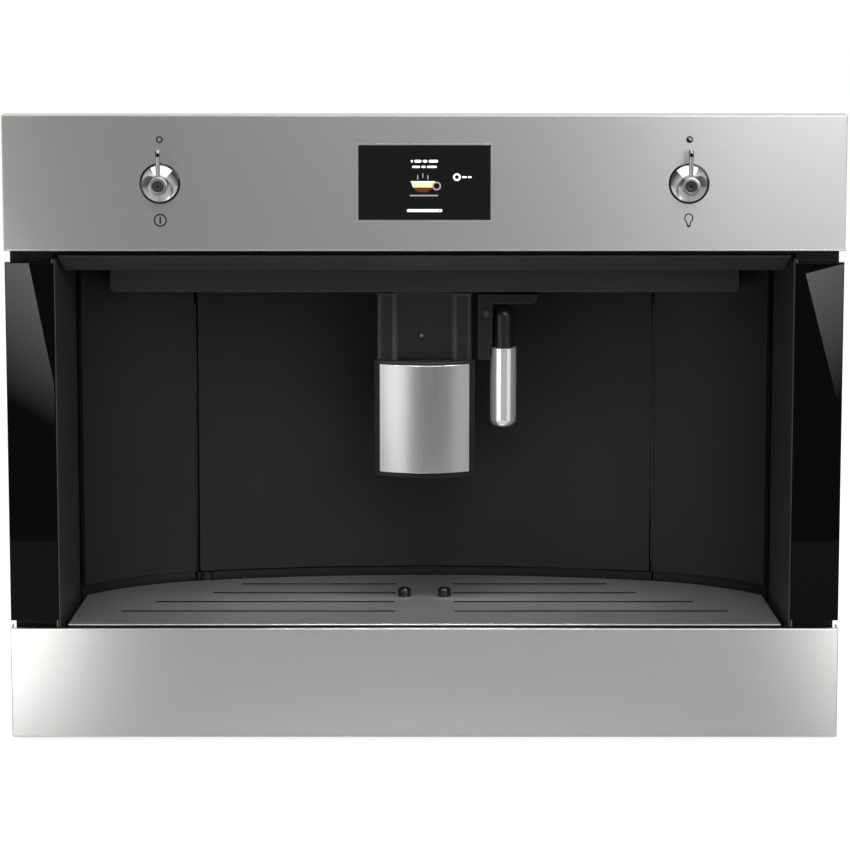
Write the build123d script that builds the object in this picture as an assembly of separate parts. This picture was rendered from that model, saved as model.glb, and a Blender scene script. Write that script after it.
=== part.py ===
from build123d import *
import math
import os

# Built-in automatic coffee machine for a 450 mm high, 560 mm wide kitchen niche.
# Millimetres. While a piece is drawn, x runs to the viewer's right from the middle,
# y runs back into the cabinet from the outer face of the steel front, and z runs up
# from the cabinet shelf. export_piece() moves y so that the origin is the middle of
# the machine's footprint.

# ---------------------------------------------------------------- clearances
RUNNING = 0.05          # radial gap of a pin in its hole
SLIDING = 0.4           # gap between pieces that slide past each other
FREE = 0.5              # gap round a piece that is lifted or swung out
HINGE_SIDE = 0.4        # gap beside a hinge barrel
CUT = 1.0               # how far a cut runs past the face that it opens

# ---------------------------------------------------------------- steel front
FRONT_WIDTH = 597.0
FRONT_HEIGHT = 451.5
FRONT_ABOVE_SHELF = 3.5
TOP_PANEL_HEIGHT = 96.6
BOTTOM_PANEL_HEIGHT = 80.4
PANEL_SHEET = 1.0
PANEL_RETURN = 15.0     # depth of the folded sides and top
PANEL_HEM = 3.5         # depth of the folded edge beside the niche
PANEL_EDGE_ROUND = 0.6
GLASS_WIDTH = 34.6
GLASS_THICKNESS = 4.0
GLASS_SET_BACK = 1.4
GLASS_TOP_GAP = 8.3     # dark recess between the top panel and the glass
GLASS_BOTTOM_GAP = 5.6
GLASS_SIDE_GAP = 0.3
GLASS_CHAMFER = 0.5

front_half = FRONT_WIDTH / 2
front_bottom = FRONT_ABOVE_SHELF
front_top = front_bottom + FRONT_HEIGHT
top_panel_bottom = front_top - TOP_PANEL_HEIGHT
bottom_panel_top = front_bottom + BOTTOM_PANEL_HEIGHT
glass_outer = front_half - GLASS_SIDE_GAP
glass_inner = glass_outer - GLASS_WIDTH
glass_bottom = bottom_panel_top + GLASS_BOTTOM_GAP
glass_top = top_panel_bottom - GLASS_TOP_GAP

# ---------------------------------------------------------------- plastic front frame
FRAME_PLATE = 3.0
FRAME_RIB = 2.5
FRAME_INSET = 2.5       # frame stands this far inside the steel outline
RIB_INSET = 8.0
RING_INSET = 3.0        # outer ribs inside the frame's top and bottom
PAD_INSET = 0.5
CROSS_RIB_SHARE = (-0.48, -0.21, 0.21, 0.48)
CARRIER_RIB_SHARE = (-0.64, -0.32, 0.0, 0.32, 0.64)

frame_front = PANEL_RETURN + 1.0
frame_rear = frame_front + FRAME_PLATE
frame_half = front_half - FRAME_INSET
frame_bottom = front_bottom + FRAME_INSET
frame_top = front_top - FRAME_INSET

# ---------------------------------------------------------------- casing
FRONT_OVERLAP = 19.5    # how far the front stands past the casing on each side
CASE_DEPTH = 363.0
CASE_BELOW_FRONT = 40.0  # casing's top below the front's top edge
CASE_SHEET = 1.0
PAN_SHEET = 1.2
CASE_FLANGE = 14.0
SCREW_EDGE = 39.0       # outer rear screws from the casing's side
SCREW_MIDDLE = (-90.0, 60.0)
SCREW_SHANK_R = 1.6
SCREW_HEAD_R = 3.4
SCREW_HEAD = 1.6
SCREW_LENGTH = 8.0
VENT_WIDTH = 36.0
VENT_HEIGHT = 4.0
VENT_PITCH = 9.0
VENT_COUNT = 12
VENT_LEFT = (-60.0, 20.0, 100.0)
VENT_BELOW_TOP = 165.0

case_half = front_half - FRONT_OVERLAP
case_top = front_top - CASE_BELOW_FRONT
case_front = frame_rear
case_rear = case_front + CASE_DEPTH
case_inner = case_half - CASE_SHEET

# ---------------------------------------------------------------- shelf plate and slides
SHELF_PLATE = 2.0
SHELF_PLATE_INSET = 29.0  # from the casing's side
SHELF_FRONT_GAP = 10.0
SHELF_BOLT_EDGE = 15.0
SHELF_BOLT_END = 22.5
SHELF_BOLT_R = 2.75
SLIDE_INSET = 84.0      # slide's middle from the casing's side
SLIDE_WIDTH = 45.0
SLIDE_HEIGHT = 12.0
SLIDE_SHEET = 1.2
SLIDE_LIP = 5.0
SLIDE_LENGTH = 345.0
SLIDE_MIDDLE_LENGTH = 320.0
SLIDE_HAT = 24.0
BASE_ABOVE_SLIDE = 1.5

shelf_half = case_half - SHELF_PLATE_INSET
shelf_front = case_front + SHELF_FRONT_GAP
shelf_rear = shelf_front + SLIDE_LENGTH
bolt_x = shelf_half - SHELF_BOLT_EDGE
bolt_y = SLIDE_LENGTH / 2 - SHELF_BOLT_END
slide_x = case_half - SLIDE_INSET
slide_bottom = SHELF_PLATE
slide_top = slide_bottom + SLIDE_HEIGHT
case_bottom = slide_top + BASE_ABOVE_SLIDE
pan_top = case_bottom + PAN_SHEET

# ---------------------------------------------------------------- niche
NICHE_TAPER = 4.5       # each side wall leans in by this much towards the back
NICHE_WALL = 2.5
NICHE_WALL_FRONT = 1.5
NICHE_WALL_REAR = 96.0
NICHE_BEAD = 0.8        # thickness of the wall's bright front edge
NICHE_BEAD_DEPTH = 6.0
NICHE_RETURN = 20.0
NICHE_RETURN_WIDTH = 9.0
NICHE_DEPTH = 164.0     # at the middle of the curved back
BACK_RADIUS = 760.0     # door
SIDE_RADIUS = 160.0     # fixed panels beside the door
SEAM_SHARE = 0.5772     # door's seam, as a share of the front's half width
SEAM_GAP = 3.2
BACK_END_INSET = 4.5    # end of the curved back from the side wall
BACK_PANEL = 3.0
DOOR_ABOVE_STUDS = 0.4
CEILING_BELOW_PANEL = 6.4
CEILING = 2.5
FLOOR_SHEET = 2.0
SILL_SET_BACK = 3.4
SILL = 2.6
DOOR_SILL_DROP = 1.5    # below the door's lower edge
SIDE_SILL_LAP = 5.0     # above the fixed panels' lower edge

VISOR_FRONT = 4.0
VISOR_REAR = 22.0
VISOR_DROP = 10.2       # below the ceiling
VISOR_END_GAP = 1.8
VISOR_MITRE = 3.3
VISOR_WALL = 2.5
LAMP_LENGTH = 100.0
LAMP_X = 120.0
LAMP_BEHIND_VISOR = 4.0
LAMP_DEPTH = 12.0
LAMP_HEIGHT = 3.0

HEADER_END_GAP = 27.0   # from the side wall's rear edge
HEADER_FRONT = 84.0
HEADER_HEIGHT = 35.2
HEADER_WALL = 3.0
HEADER_CORNER = 4.0
HEADER_BEHIND_DOOR = 2.0

seam_half = SEAM_SHARE * FRONT_WIDTH / 2
niche_half_front = glass_inner - GLASS_SIDE_GAP - NICHE_BEAD
niche_half_rear = niche_half_front - NICHE_TAPER
back_end = niche_half_rear - BACK_END_INSET
header_half = niche_half_rear - HEADER_END_GAP
ceiling_bottom = top_panel_bottom - CEILING_BELOW_PANEL
ceiling_top = ceiling_bottom + CEILING
header_bottom = ceiling_bottom - HEADER_HEIGHT

# ---------------------------------------------------------------- drip tray
TRAY_ABOVE_PANEL = 2.1
GRID_SHEET = 2.0
GRID_FRONT = 5.0
GRID_SIDE_GAP = 5.3     # to the niche's side wall at the front
GRID_GAP = 2.0          # to the curved back
GRID_LIP = 4.0
GRID_LIP_SHEET = 1.2
SLOT_WIDTH = 4.0
SLOT_INNER = 21.4
SLOT_ROWS = ((132.0, 138.5), (103.0, 159.0), (74.5, 199.5), (45.0, 223.4))
BASIN_WALL = 2.0
BASIN_GAP = 4.0
BASIN_HEIGHT = 35.5
BASIN_ABOVE_FLOOR = 0.5
RIM_FRONT = 7.5
RIM_END_GAP = 9.0
STUD_X = 14.9
STUD_Y = 93.0
STUD_R = 4.75
STUD_ABOVE = 6.6
STUD_ROUND = 2.5
STUD_SHANK_R = 2.0
NECK_END_GAP = 14.5
NECK_ABOVE_FLOOR = 4.0

tray_top = bottom_panel_top + TRAY_ABOVE_PANEL
grid_half_front = niche_half_front - GRID_SIDE_GAP
basin_top = tray_top - GRID_SHEET
basin_bottom = basin_top - BASIN_HEIGHT
floor_top = basin_bottom - BASIN_ABOVE_FLOOR
basin_front = frame_rear + 1.0
back_panel_bottom = tray_top + STUD_ABOVE + DOOR_ABOVE_STUDS
door_sill_top = back_panel_bottom - DOOR_SILL_DROP
side_sill_top = back_panel_bottom + SIDE_SILL_LAP

# ---------------------------------------------------------------- service door
DOOR_THICKNESS = 8.0
DOOR_SKIN = 3.0
DOOR_RIM = 6.0
DOOR_HINGE_RIM = 11.0
DOOR_TOP_GAP = 4.8
DOOR_PIN_R = 2.0
DOOR_PIN_INSET = 5.5    # from the door's left edge
DOOR_PIN_GRIP = 10.0
DOOR_PIN_END_GAP = 1.0
DOOR_BOSS_R = 5.0
PORT_R = 6.0
DOOR_CATCH_GAP = 0.6
MAGNET = 12.0
MAGNET_FROM_RIM = 2.0

door_top = header_bottom - DOOR_TOP_GAP

# ---------------------------------------------------------------- spout
GUIDE_HALF = 35.2
GUIDE_FRONT = 85.0
GUIDE_TOP_GAP = 1.0
GUIDE_RECESS_HALF = 21.8
GUIDE_RECESS = 6.0
GUIDE_WALL = 4.0
GUIDE_ROUND = 3.0
SPOUT_WALL = 1.3
SPOUT_FRONT = 71.5
SPOUT_SHOULDER = 82.0   # y where the curved front meets the sides
SPOUT_REAR = 118.0
SPOUT_HEIGHT = 85.5
SPOUT_FLOOR = 15.5
SPOUT_TRAVEL = 45.0
SPOUT_TOP_GAP = 4.8     # left under the guide's top at full height
FACE_INSET = 3.9
FACE_SHEET = 1.0
FACE_GLUE = 0.05        # glue line behind the steel shield
FACE_BOTTOM_LIP = 3.2
FACE_TOP_LIP = 2.0
NOZZLE_X = 21.8
NOZZLE_BEHIND_SHOULDER = 10.0
NOZZLE_R = 4.0
NOZZLE_BORE = 2.2
NOZZLE_BELOW = 2.0

guide_top = header_bottom - GUIDE_TOP_GAP
spout_half = GUIDE_HALF + SLIDING + SPOUT_WALL
spout_top = guide_top - SPOUT_TRAVEL - SPOUT_TOP_GAP
spout_bottom = spout_top - SPOUT_HEIGHT
guide_bottom = spout_bottom + SPOUT_FLOOR + SPOUT_TRAVEL + 1.0
nozzle_y = SPOUT_SHOULDER + NOZZLE_BEHIND_SHOULDER

# ---------------------------------------------------------------- hot-water wand
WAND_FROM_SPOUT = 21.4  # wand's middle from the spout's side
WAND_Y = 96.0
WAND_PIVOT_DROP = 16.5  # below the arm's top
WAND_SLEEVE_R = 7.8
WAND_SLEEVE_LENGTH = 24.0
WAND_TUBE_R = 9.75
WAND_TUBE_LENGTH = 59.5
WAND_TUBE_ROUND = 6.0
WAND_SIDE_GAP = 0.6
WAND_BORE = 2.5
WAND_BORE_DEPTH = 45.0
WAND_PIN_R = 2.5
WAND_PIN_GRIP = 7.0
ARM_SIDE_GAP = 2.6      # from the spout's side
ARM_LENGTH = 43.5
ARM_FRONT = 87.0
ARM_THICKNESS = 7.0
ARM_TOP_GAP = 2.3
ARM_CHAMFER = 3.0
CHEEK_WIDTH = 10.3
CHEEK_DEPTH = 18.0
CHEEK_HEIGHT = 48.5

wand_x = spout_half + WAND_FROM_SPOUT
arm_left = spout_half + ARM_SIDE_GAP
arm_right = arm_left + ARM_LENGTH
arm_top = header_bottom - ARM_TOP_GAP
wand_pivot_z = arm_top - WAND_PIVOT_DROP
wand_tube_top = wand_pivot_z - WAND_SLEEVE_LENGTH
wand_tube_bottom = wand_tube_top - WAND_TUBE_LENGTH
cheek_right = arm_left + CHEEK_WIDTH
cheek_bottom = arm_top - CHEEK_HEIGHT

# ---------------------------------------------------------------- display and selectors
DISPLAY_WIDTH = 93.6
DISPLAY_HEIGHT = 53.3
DISPLAY_BELOW_TOP = 47.7
DISPLAY_GAP = 0.3
DISPLAY_PANE = 2.6
DISPLAY_PROUD = 0.4
DISPLAY_CHAMFER = 0.3
DISPLAY_MODULE = 7.0
DISPLAY_MODULE_MARGIN = 2.0
CONTROL_BOARD = 1.6
CONTROL_BOARD_MARGIN = 5.0
BOARD_POST_R = 2.5
BOARD_POST_INSET = 5.0
KNOB_X = 187.1
KNOB_BELOW_TOP = 48.4
ROSETTE_R = 14.5
ROSETTE_TOP_R = 6.6
ROSETTE_HEIGHT = 11.0
HUB_R = 6.8
HUB_LENGTH = 6.5
HUB_ROUND = 0.8
HUB_DISC_R = 4.2
HUB_DISC_DEPTH = 1.2
KNOB_REACH = 20.5
LEVER_LENGTH = 26.0
LEVER_WIDTH = 3.9
LEVER_ROOT_WIDTH = 3.2
LEVER_THICKNESS = 4.0
LEVER_SET_BACK = 0.8
SPINDLE_R = 3.0
SPINDLE_GRIP = 4.0
PLUNGER_R = 4.5
PLUNGER_INSERT = 7.0
ENCODER_WIDTH = 22.0
ENCODER_DEPTH = 10.0
ENCODER_HEIGHT = 20.0

display_z = front_top - DISPLAY_BELOW_TOP
knob_z = front_top - KNOB_BELOW_TOP
encoder_top = case_top - CASE_SHEET - FREE
pane_front = -DISPLAY_PROUD
pane_rear = pane_front + DISPLAY_PANE
board_front = pane_rear + DISPLAY_MODULE
hub_rear = -KNOB_REACH + HUB_LENGTH

# ---------------------------------------------------------------- inner chassis
CHASSIS_SHEET = 1.5
CHASSIS_SIDE = 3.7      # outside the door's seam
CHASSIS_BEHIND_DOOR = 6.0
CATCH_FLANGE = 30.0
BAY_FLOOR_STEP = 1.0    # above the door's lower edge
DECK_BELOW_CASE = 121.0
HOSE_PASS_R = 7.0

chassis_half = seam_half + CHASSIS_SIDE
chassis_front = NICHE_DEPTH + DOOR_THICKNESS + CHASSIS_BEHIND_DOOR
chassis_rear = case_rear - 2 * CASE_SHEET - FREE
bay_floor_top = back_panel_bottom + BAY_FLOOR_STEP
deck_top = case_top - DECK_BELOW_CASE

# ---------------------------------------------------------------- water tank
TANK_SIDE_GAP = 8.0     # to the chassis wall
TANK_FRONT_GAP = 6.0    # behind the chassis' front edge
TANK_REAR_GAP = 14.0    # to the casing's rear
TANK_ABOVE_BAY = 16.0
TANK_HEIGHT = 178.0
TANK_WALL = 2.5
TANK_CORNER = 5.0
TANK_OPENING_GAP = 2.0
TANK_LID = 4.0
TANK_LID_PLUG = 5.0
FILL_PORT_WIDTH = 40.0
FILL_PORT_DEPTH = 70.0
TANK_SHELF = 2.5
TANK_SHELF_GAP = 0.3
GRIP_LENGTH = 60.0
GRIP_HEIGHT = 38.0
GRIP_DEPTH = 13.0
GRIP_BELOW_TOP = 43.0
DOCK_FROM_REAR = 28.0
DOCK_ABOVE_BOTTOM = 10.0
DOCK_R = 5.0
DOCK_BORE = 3.0
DOCK_LENGTH = 9.0
DOCK_LUG = 12.0         # half size of the lug round the spigot
DOCK_LUG_GAP = 1.5

tank_inner_x = chassis_half + TANK_SIDE_GAP
tank_front = chassis_front + TANK_FRONT_GAP
tank_rear = case_rear - TANK_REAR_GAP
tank_bottom = bay_floor_top + TANK_ABOVE_BAY
tank_top = tank_bottom + TANK_HEIGHT
grip_z = tank_top - GRIP_BELOW_TOP
dock_y = tank_rear - DOCK_FROM_REAR
dock_z = tank_bottom + DOCK_ABOVE_BOTTOM
shelf_top = tank_bottom - TANK_SHELF_GAP

# ---------------------------------------------------------------- grinder and beans
GRINDER_X = -70.0
GRINDER_BEHIND_FRONT = 90.0  # behind the chassis' front edge
GRINDER_R = 46.0
GRINDER_HEIGHT = 50.0
GRINDER_FLOOR = 8.0
RING_BURR_R = 25.0
BURR_BASE_R = 23.0
BURR_TOP_R = 12.0
BURR_HEIGHT = 28.0
BURR_SHAFT_BELOW = 12.0
MOTOR_R = 30.0
MOTOR_LENGTH = 72.0
MOTOR_HOLE_GAP = 2.0
MOTOR_SHAFT_R = 4.0
HOPPER_WIDTH = 160.0
HOPPER_DEPTH = 150.0
HOPPER_STRAIGHT = 40.0
HOPPER_WALL = 2.5
HOPPER_THROAT = 50.0
LID_MARGIN = 6.0
LID_GAP = 0.3
LID_SHEET = 2.7
LID_CORNER = 4.0
LID_PLUG = 2.3
LID_PLUG_GAP = 1.0
LID_PLUG_REAR_GAP = 4.0
LID_BARREL_R = 2.8
LID_PIN_R = 1.2
LID_PIN_GRIP = 6.0
LID_BARREL = 20.0
LID_BARREL_INSET = 22.0
LID_BARREL_BEHIND = 1.5
LID_LUG = 6.0
DIAL_X = 45.0
DIAL_R = 16.0
DIAL_HEIGHT = 8.0
DIAL_RIB_HEIGHT = 4.0
DIAL_RIB_HALF = 2.5
DIAL_RIB_INSET = 2.0
DIAL_SHAFT_R = 3.0
DIAL_SHAFT = 30.0

grinder_y = chassis_front + GRINDER_BEHIND_FRONT
grinder_top = deck_top + GRINDER_HEIGHT
hopper_rim = case_top - CASE_SHEET
lid_low = case_top + LID_GAP

# ---------------------------------------------------------------- brewing
BREW_X = 20.0
BREW_BEHIND_FRONT = 77.0
BREW_WIDTH = 100.0
BREW_DEPTH = 140.0
BREW_HEADROOM = 18.5    # under the deck
BREW_PLATE = 4.0
BRIDGE_HALF = 12.0
BRIDGE_RISE = 8.0
BRIDGE_HEIGHT = 18.0
CHAMBER_R = 30.0
CHAMBER_BORE = 23.0
CHAMBER_HEIGHT = 76.0
CHAMBER_BELOW_TOP = 28.0  # chamber's top below the frame's top
PISTON_RISE = 2.0
PISTON_HEIGHT = 12.0
PISTON_ROD_R = 6.0
PISTON_ROD_GAP = 0.3
BREW_HEAD = 10.0
HEAD_BAR_HALF = 8.0
OUTLET_R = 5.0
OUTLET_BORE = 2.5
BIN_SIDE_GAP = 16.0     # to the chassis wall
BIN_BREW_GAP = 10.0
BIN_FRONT_GAP = 4.0
BIN_DEPTH = 118.0
BIN_HEIGHT = 82.0
BIN_WALL = 2.0
BIN_CORNER = 8.0
BLOCK_FROM_SIDE = 57.0  # flow heater's middle from the casing's side
BLOCK_BEHIND_FRONT = 87.0
BLOCK_WIDTH = 66.0
BLOCK_DEPTH = 140.0
BLOCK_HEIGHT = 90.0
BLOCK_FOOT = 23.3
BLOCK_FOOT_R = 5.0
BLOCK_FOOT_INSET = 9.0
BLOCK_GROOVE = 6.0
BLOCK_GROOVE_WIDTH = 10.0
BLOCK_GROOVE_PITCH = 24.0
BLOCK_GROOVE_START = 20.0
BLOCK_GROOVE_MARGIN = 8.0
PUMP_FROM_SIDE = 54.0
PUMP_ABOVE_PAN = 39.3
PUMP_R = 24.0
PUMP_BEHIND_FRONT = 18.0
PUMP_LENGTH = 120.0
FITTING_R = 4.0
FITTING = 8.0
FITTING_INSET = 14.0
SADDLE = 14.0
SADDLE_HALF = 20.0
SADDLE_INSET = 24.0
SADDLE_DROP = 8.0
HOSE_R = 3.0
HOSE_BEND = 12.0
HOSE_SAG = 12.0
HOSE_SIDESTEP = 18.0
STEAM_INSET = 21.0
STEAM_RISE = 72.0
SUCTION_LOOP = 21.0
HOSE_STRAIGHT = 0.14    # shares of the way from heater to pump
HOSE_SLOPE = 0.30
HOT_LEVEL = 0.37        # shares of the way from heater to brew frame
HOT_RISE = 0.62
HOT_HIGH = 0.72
HOT_STEP = 0.27         # share of the rise taken before the steep stretch

brew_y = chassis_front + BREW_BEHIND_FRONT
brew_left = BREW_X - BREW_WIDTH / 2
brew_right = BREW_X + BREW_WIDTH / 2
brew_front = brew_y - BREW_DEPTH / 2
brew_rear = brew_y + BREW_DEPTH / 2
brew_top = deck_top - CHASSIS_SHEET - BREW_HEADROOM
chamber_top = brew_top - CHAMBER_BELOW_TOP
chamber_bottom = chamber_top - CHAMBER_HEIGHT
outlet_z = chamber_top + BREW_HEAD / 2
bin_left = -chassis_half + BIN_SIDE_GAP
bin_right = brew_left - BIN_BREW_GAP
bin_front = chassis_front + BIN_FRONT_GAP
block_x = -case_half + BLOCK_FROM_SIDE
block_y = chassis_front + BLOCK_BEHIND_FRONT
block_bottom = pan_top + BLOCK_FOOT
block_inner = block_x + BLOCK_WIDTH / 2
pump_x = case_half - PUMP_FROM_SIDE
pump_z = pan_top + PUMP_ABOVE_PAN
pump_front = chassis_front + PUMP_BEHIND_FRONT
pump_side = pump_x - PUMP_R - FITTING
hose_y = pump_front + FITTING_INSET
steam_y = block_y + BLOCK_DEPTH / 2 - STEAM_INSET
steam_z = block_bottom + STEAM_RISE
suction_x = chassis_half + HOSE_R + SLIDING
pressure_run = pump_side - block_inner
hot_run = brew_left - block_inner

# ---------------------------------------------------------------- electrics
BOARD_SHEET = 1.6
BOARD_DEPTH = 150.0
BOARD_HEIGHT = 80.0
BOARD_BELOW_DECK = 18.0
BOARD_BEHIND_FRONT = 16.0
BOARD_POST = 6.0
BOARD_STUD_R = 3.0
BOARD_STUD_INSET = 8.0
RELAY = (28.0, 38.0, 40.0)        # reach from the board, length, height
FILTER = (16.0, 30.0, 40.0)
CAPACITOR_R = 5.0
CAPACITOR_LENGTH = 20.0
CAPACITOR_PITCH = 14.0
BOARD_PART_GAP = 14.0
INLET_FROM_SIDE = 57.0
INLET_ABOVE_PAN = 53.3
INLET_WIDTH = 66.0
INLET_DEPTH = 22.0
INLET_HEIGHT = 28.0
INLET_FLANGE = 2.0
INLET_FLANGE_MARGIN = 3.0
SOCKET_OFFSET = 16.0
SOCKET_WIDTH = 24.0
SOCKET_DEPTH = 16.0
SOCKET_HEIGHT = 17.0
SOCKET_CORNER = 3.0
BLADE_HALF_WIDTH = 1.0
BLADE_HALF_HEIGHT = 2.0
BLADE_SET_BACK = 4.0
BLADES = ((-7.0, -1.5), (0.0, 3.0), (7.0, -1.5))
ROCKER_WIDTH = 14.0
ROCKER_DEPTH = 9.0
ROCKER_HEIGHT = 19.0
ROCKER_PIVOT_R = 1.5
ROCKER_PIVOT_LENGTH = 2.5
ROCKER_PIVOT_DEPTH = 3.0
ROCKER_OFFSET = 20.0
ROCKER_TILT = 8.0
ROCKER_END = 1.6        # rocker's ends behind its pivot
ROCKER_MIDDLE = 0.4

board_bottom = deck_top - BOARD_BELOW_DECK - BOARD_HEIGHT
inlet_x = -case_half + INLET_FROM_SIDE
inlet_z = pan_top + INLET_ABOVE_PAN
socket_x = inlet_x - SOCKET_OFFSET
rocker_x = inlet_x + ROCKER_OFFSET

machine_rear = case_rear + INLET_FLANGE
machine_front = -KNOB_REACH
rocker_y = machine_rear - ROCKER_PIVOT_DEPTH
footprint_middle = (machine_rear + machine_front) / 2


# ================================================================ drawing helpers
def block(x0, x1, y0, y1, z0, z1):
    """Box between two corners."""
    place = Pos((x0 + x1) / 2, (y0 + y1) / 2, (z0 + z1) / 2)
    return place * Box(abs(x1 - x0), abs(y1 - y0), abs(z1 - z0))


def post(x, y, z0, z1, radius):
    """Round bar along z."""
    return Pos(x, y, (z0 + z1) / 2) * Cylinder(radius, abs(z1 - z0))


def bar_x(y, z, x0, x1, radius):
    """Round bar along x."""
    return Pos((x0 + x1) / 2, y, z) * Rot(0, 90, 0) * Cylinder(radius, abs(x1 - x0))


def bar_y(x, z, y0, y1, radius):
    """Round bar along y."""
    return Pos(x, (y0 + y1) / 2, z) * Rot(90, 0, 0) * Cylinder(radius, abs(y1 - y0))


def cone_y(x, z, y0, y1, r0, r1):
    """Round taper along -y, from radius r0 at y0 to r1 at y1."""
    return Pos(x, (y0 + y1) / 2, z) * Rot(90, 0, 0) * Cone(r0, r1, abs(y1 - y0))


def upright(edges, z0, z1):
    """Extrude a closed outline drawn on the floor from z0 up to z1."""
    return Pos(0, 0, z0) * extrude(make_face(edges), amount=z1 - z0, dir=(0, 0, 1))


def mirrored(shape):
    """The same piece on the other side of the machine's middle."""
    return mirror(shape, about=Plane.YZ)


def pair(right):
    """A piece and its mirror image."""
    return right, mirrored(right)


def export_piece(name, *solids):
    """Write one node; identical small pieces share a node as separate solids."""
    placed = [Pos(0, -footprint_middle, 0) * solid for solid in solids]
    piece = placed[0] if len(placed) == 1 else Compound(children=placed)
    export_step(piece, f"parts/{name}.step")


# ================================================================ curved niche back
back_centre = (0.0, NICHE_DEPTH - BACK_RADIUS)
seam_angle = math.asin(seam_half / BACK_RADIUS)
seam_y = back_centre[1] + BACK_RADIUS * math.cos(seam_angle)
side_centre = (seam_half - SIDE_RADIUS * math.sin(seam_angle),
               seam_y - SIDE_RADIUS * math.cos(seam_angle))
end_angle = math.asin((back_end - side_centre[0]) / SIDE_RADIUS)


def on_back(angle, outset):
    """Point of the door's arc, outset behind its front surface."""
    radius = BACK_RADIUS + outset
    return (back_centre[0] + radius * math.sin(angle), back_centre[1] + radius * math.cos(angle))


def on_side(angle, outset):
    """Point of the right fixed panel's arc."""
    radius = SIDE_RADIUS + outset
    return (side_centre[0] + radius * math.sin(angle), side_centre[1] + radius * math.cos(angle))


def arc_wall(point_at, angle0, angle1, inner, outer, z0, z1):
    """Upright wall of constant thickness along an arc."""
    middle = (angle0 + angle1) / 2
    near = [point_at(a, inner) for a in (angle0, middle, angle1)]
    far = [point_at(a, outer) for a in (angle1, middle, angle0)]
    return upright([ThreePointArc(*near), Line(near[2], far[0]),
                    ThreePointArc(*far), Line(far[2], near[0])], z0, z1)


def niche_room(gap, half_front, y_front, z0, z1):
    """Everything inside the niche walls, gap away from the curved back."""
    half_side = (seam_angle + end_angle) / 2
    right_end, right_mid, right_seam = (on_side(a, -gap) for a in (end_angle, half_side, seam_angle))
    middle = on_back(0, -gap)
    flip = lambda p: (-p[0], p[1])
    left_end, left_mid, left_seam = flip(right_end), flip(right_mid), flip(right_seam)
    right_front, left_front = (half_front, y_front), (-half_front, y_front)
    return upright([
        Line(right_front, right_end),
        ThreePointArc(right_end, right_mid, right_seam),
        ThreePointArc(right_seam, middle, left_seam),
        ThreePointArc(left_seam, left_mid, left_end),
        Line(left_end, left_front),
        Line(left_front, right_front)], z0, z1)


def in_front_of_door(gap, z0, z1):
    """Room in front of the door's curved face, used to fit pieces onto the door."""
    span = seam_angle
    points = [on_back(a, -gap) for a in (-span, 0, span)]
    return upright([ThreePointArc(*points), Line(points[2], (points[2][0], 0)),
                    Line((points[2][0], 0), (points[0][0], 0)),
                    Line((points[0][0], 0), points[0])], z0, z1)


# ================================================================ cabinet side
def shelf_plate():
    plate = block(-shelf_half, shelf_half, shelf_front, shelf_rear, 0, SHELF_PLATE)
    middle = (shelf_front + shelf_rear) / 2
    for x in (-bolt_x, bolt_x):
        for y in (middle - bolt_y, middle + bolt_y):
            plate -= post(x, y, -1, SHELF_PLATE + 1, SHELF_BOLT_R)
    return plate


def channel(half, z0, z1, lip, y0, y1):
    """Slide member: a channel with its lips turned in at the top."""
    sheet = SLIDE_SHEET
    bar = block(-half, half, y0, y1, z0, z1)
    bar -= block(-half + sheet, half - sheet, y0 - 1, y1 + 1, z0 + sheet, z1 - sheet)
    bar -= block(-half + lip, half - lip, y0 - 1, y1 + 1, z1 - 2 * sheet, z1 + 1)
    return bar


def slide_members():
    """Outer, middle and inner member of one slide, drawn at x = 0."""
    step = SLIDE_SHEET + SLIDING
    rear = shelf_front + SLIDE_LENGTH
    outer = channel(SLIDE_WIDTH / 2, slide_bottom, slide_top, SLIDE_LIP, shelf_front, rear)
    middle_half = SLIDE_WIDTH / 2 - step
    middle_front = rear - SLIDE_MIDDLE_LENGTH
    middle = channel(middle_half, slide_bottom + step, slide_top - step, SLIDE_LIP,
                     middle_front, rear)
    inner_half = middle_half - step
    flange_bottom = slide_bottom + 2 * step
    inner = block(-inner_half, inner_half, shelf_front, rear, flange_bottom, flange_bottom + SLIDE_SHEET)
    hat = SLIDE_HAT / 2
    inner += block(-hat, hat, shelf_front, rear, flange_bottom, case_bottom)
    inner -= block(-hat + SLIDE_SHEET, hat - SLIDE_SHEET, shelf_front - 1, rear + 1,
                   flange_bottom - 1, case_bottom - SLIDE_SHEET)
    return outer, middle, inner


# ================================================================ casing
def base_pan():
    pan = block(-case_inner, case_inner, case_front, case_rear - CASE_SHEET, case_bottom, pan_top)
    flange_top = pan_top + CASE_FLANGE
    for side in (-1, 1):
        pan += block(side * (case_inner - PAN_SHEET), side * case_inner, case_front,
                     case_rear - CASE_SHEET, case_bottom, flange_top)
    pan += block(-case_inner, case_inner, case_rear - CASE_SHEET - PAN_SHEET,
                 case_rear - CASE_SHEET, case_bottom, flange_top)
    for y in (pump_front + SADDLE_INSET, pump_front + PUMP_LENGTH - SADDLE_INSET - SADDLE):
        pan += block(pump_x - SADDLE_HALF, pump_x + SADDLE_HALF, y, y + SADDLE, case_bottom,
                     pump_z - SADDLE_DROP)
        pan -= bar_y(pump_x, pump_z, y - CUT, y + SADDLE + CUT, PUMP_R)
    for hole in pilot_holes():
        pan -= hole
    return pan


def screw_places():
    """Rear screws: heights in the pan's and the cover's flanges, along the panel."""
    low = pan_top + CASE_FLANGE / 2
    high = case_top - CASE_SHEET - CASE_FLANGE / 2
    edge = case_half - SCREW_EDGE
    return [(x, z) for x in (-edge, *SCREW_MIDDLE, edge) for z in (low, high)]


def pilot_holes():
    front = case_rear - SCREW_LENGTH - CUT
    return [bar_y(x, z, front, case_rear + CUT, SCREW_SHANK_R) for x, z in screw_places()]


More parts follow.
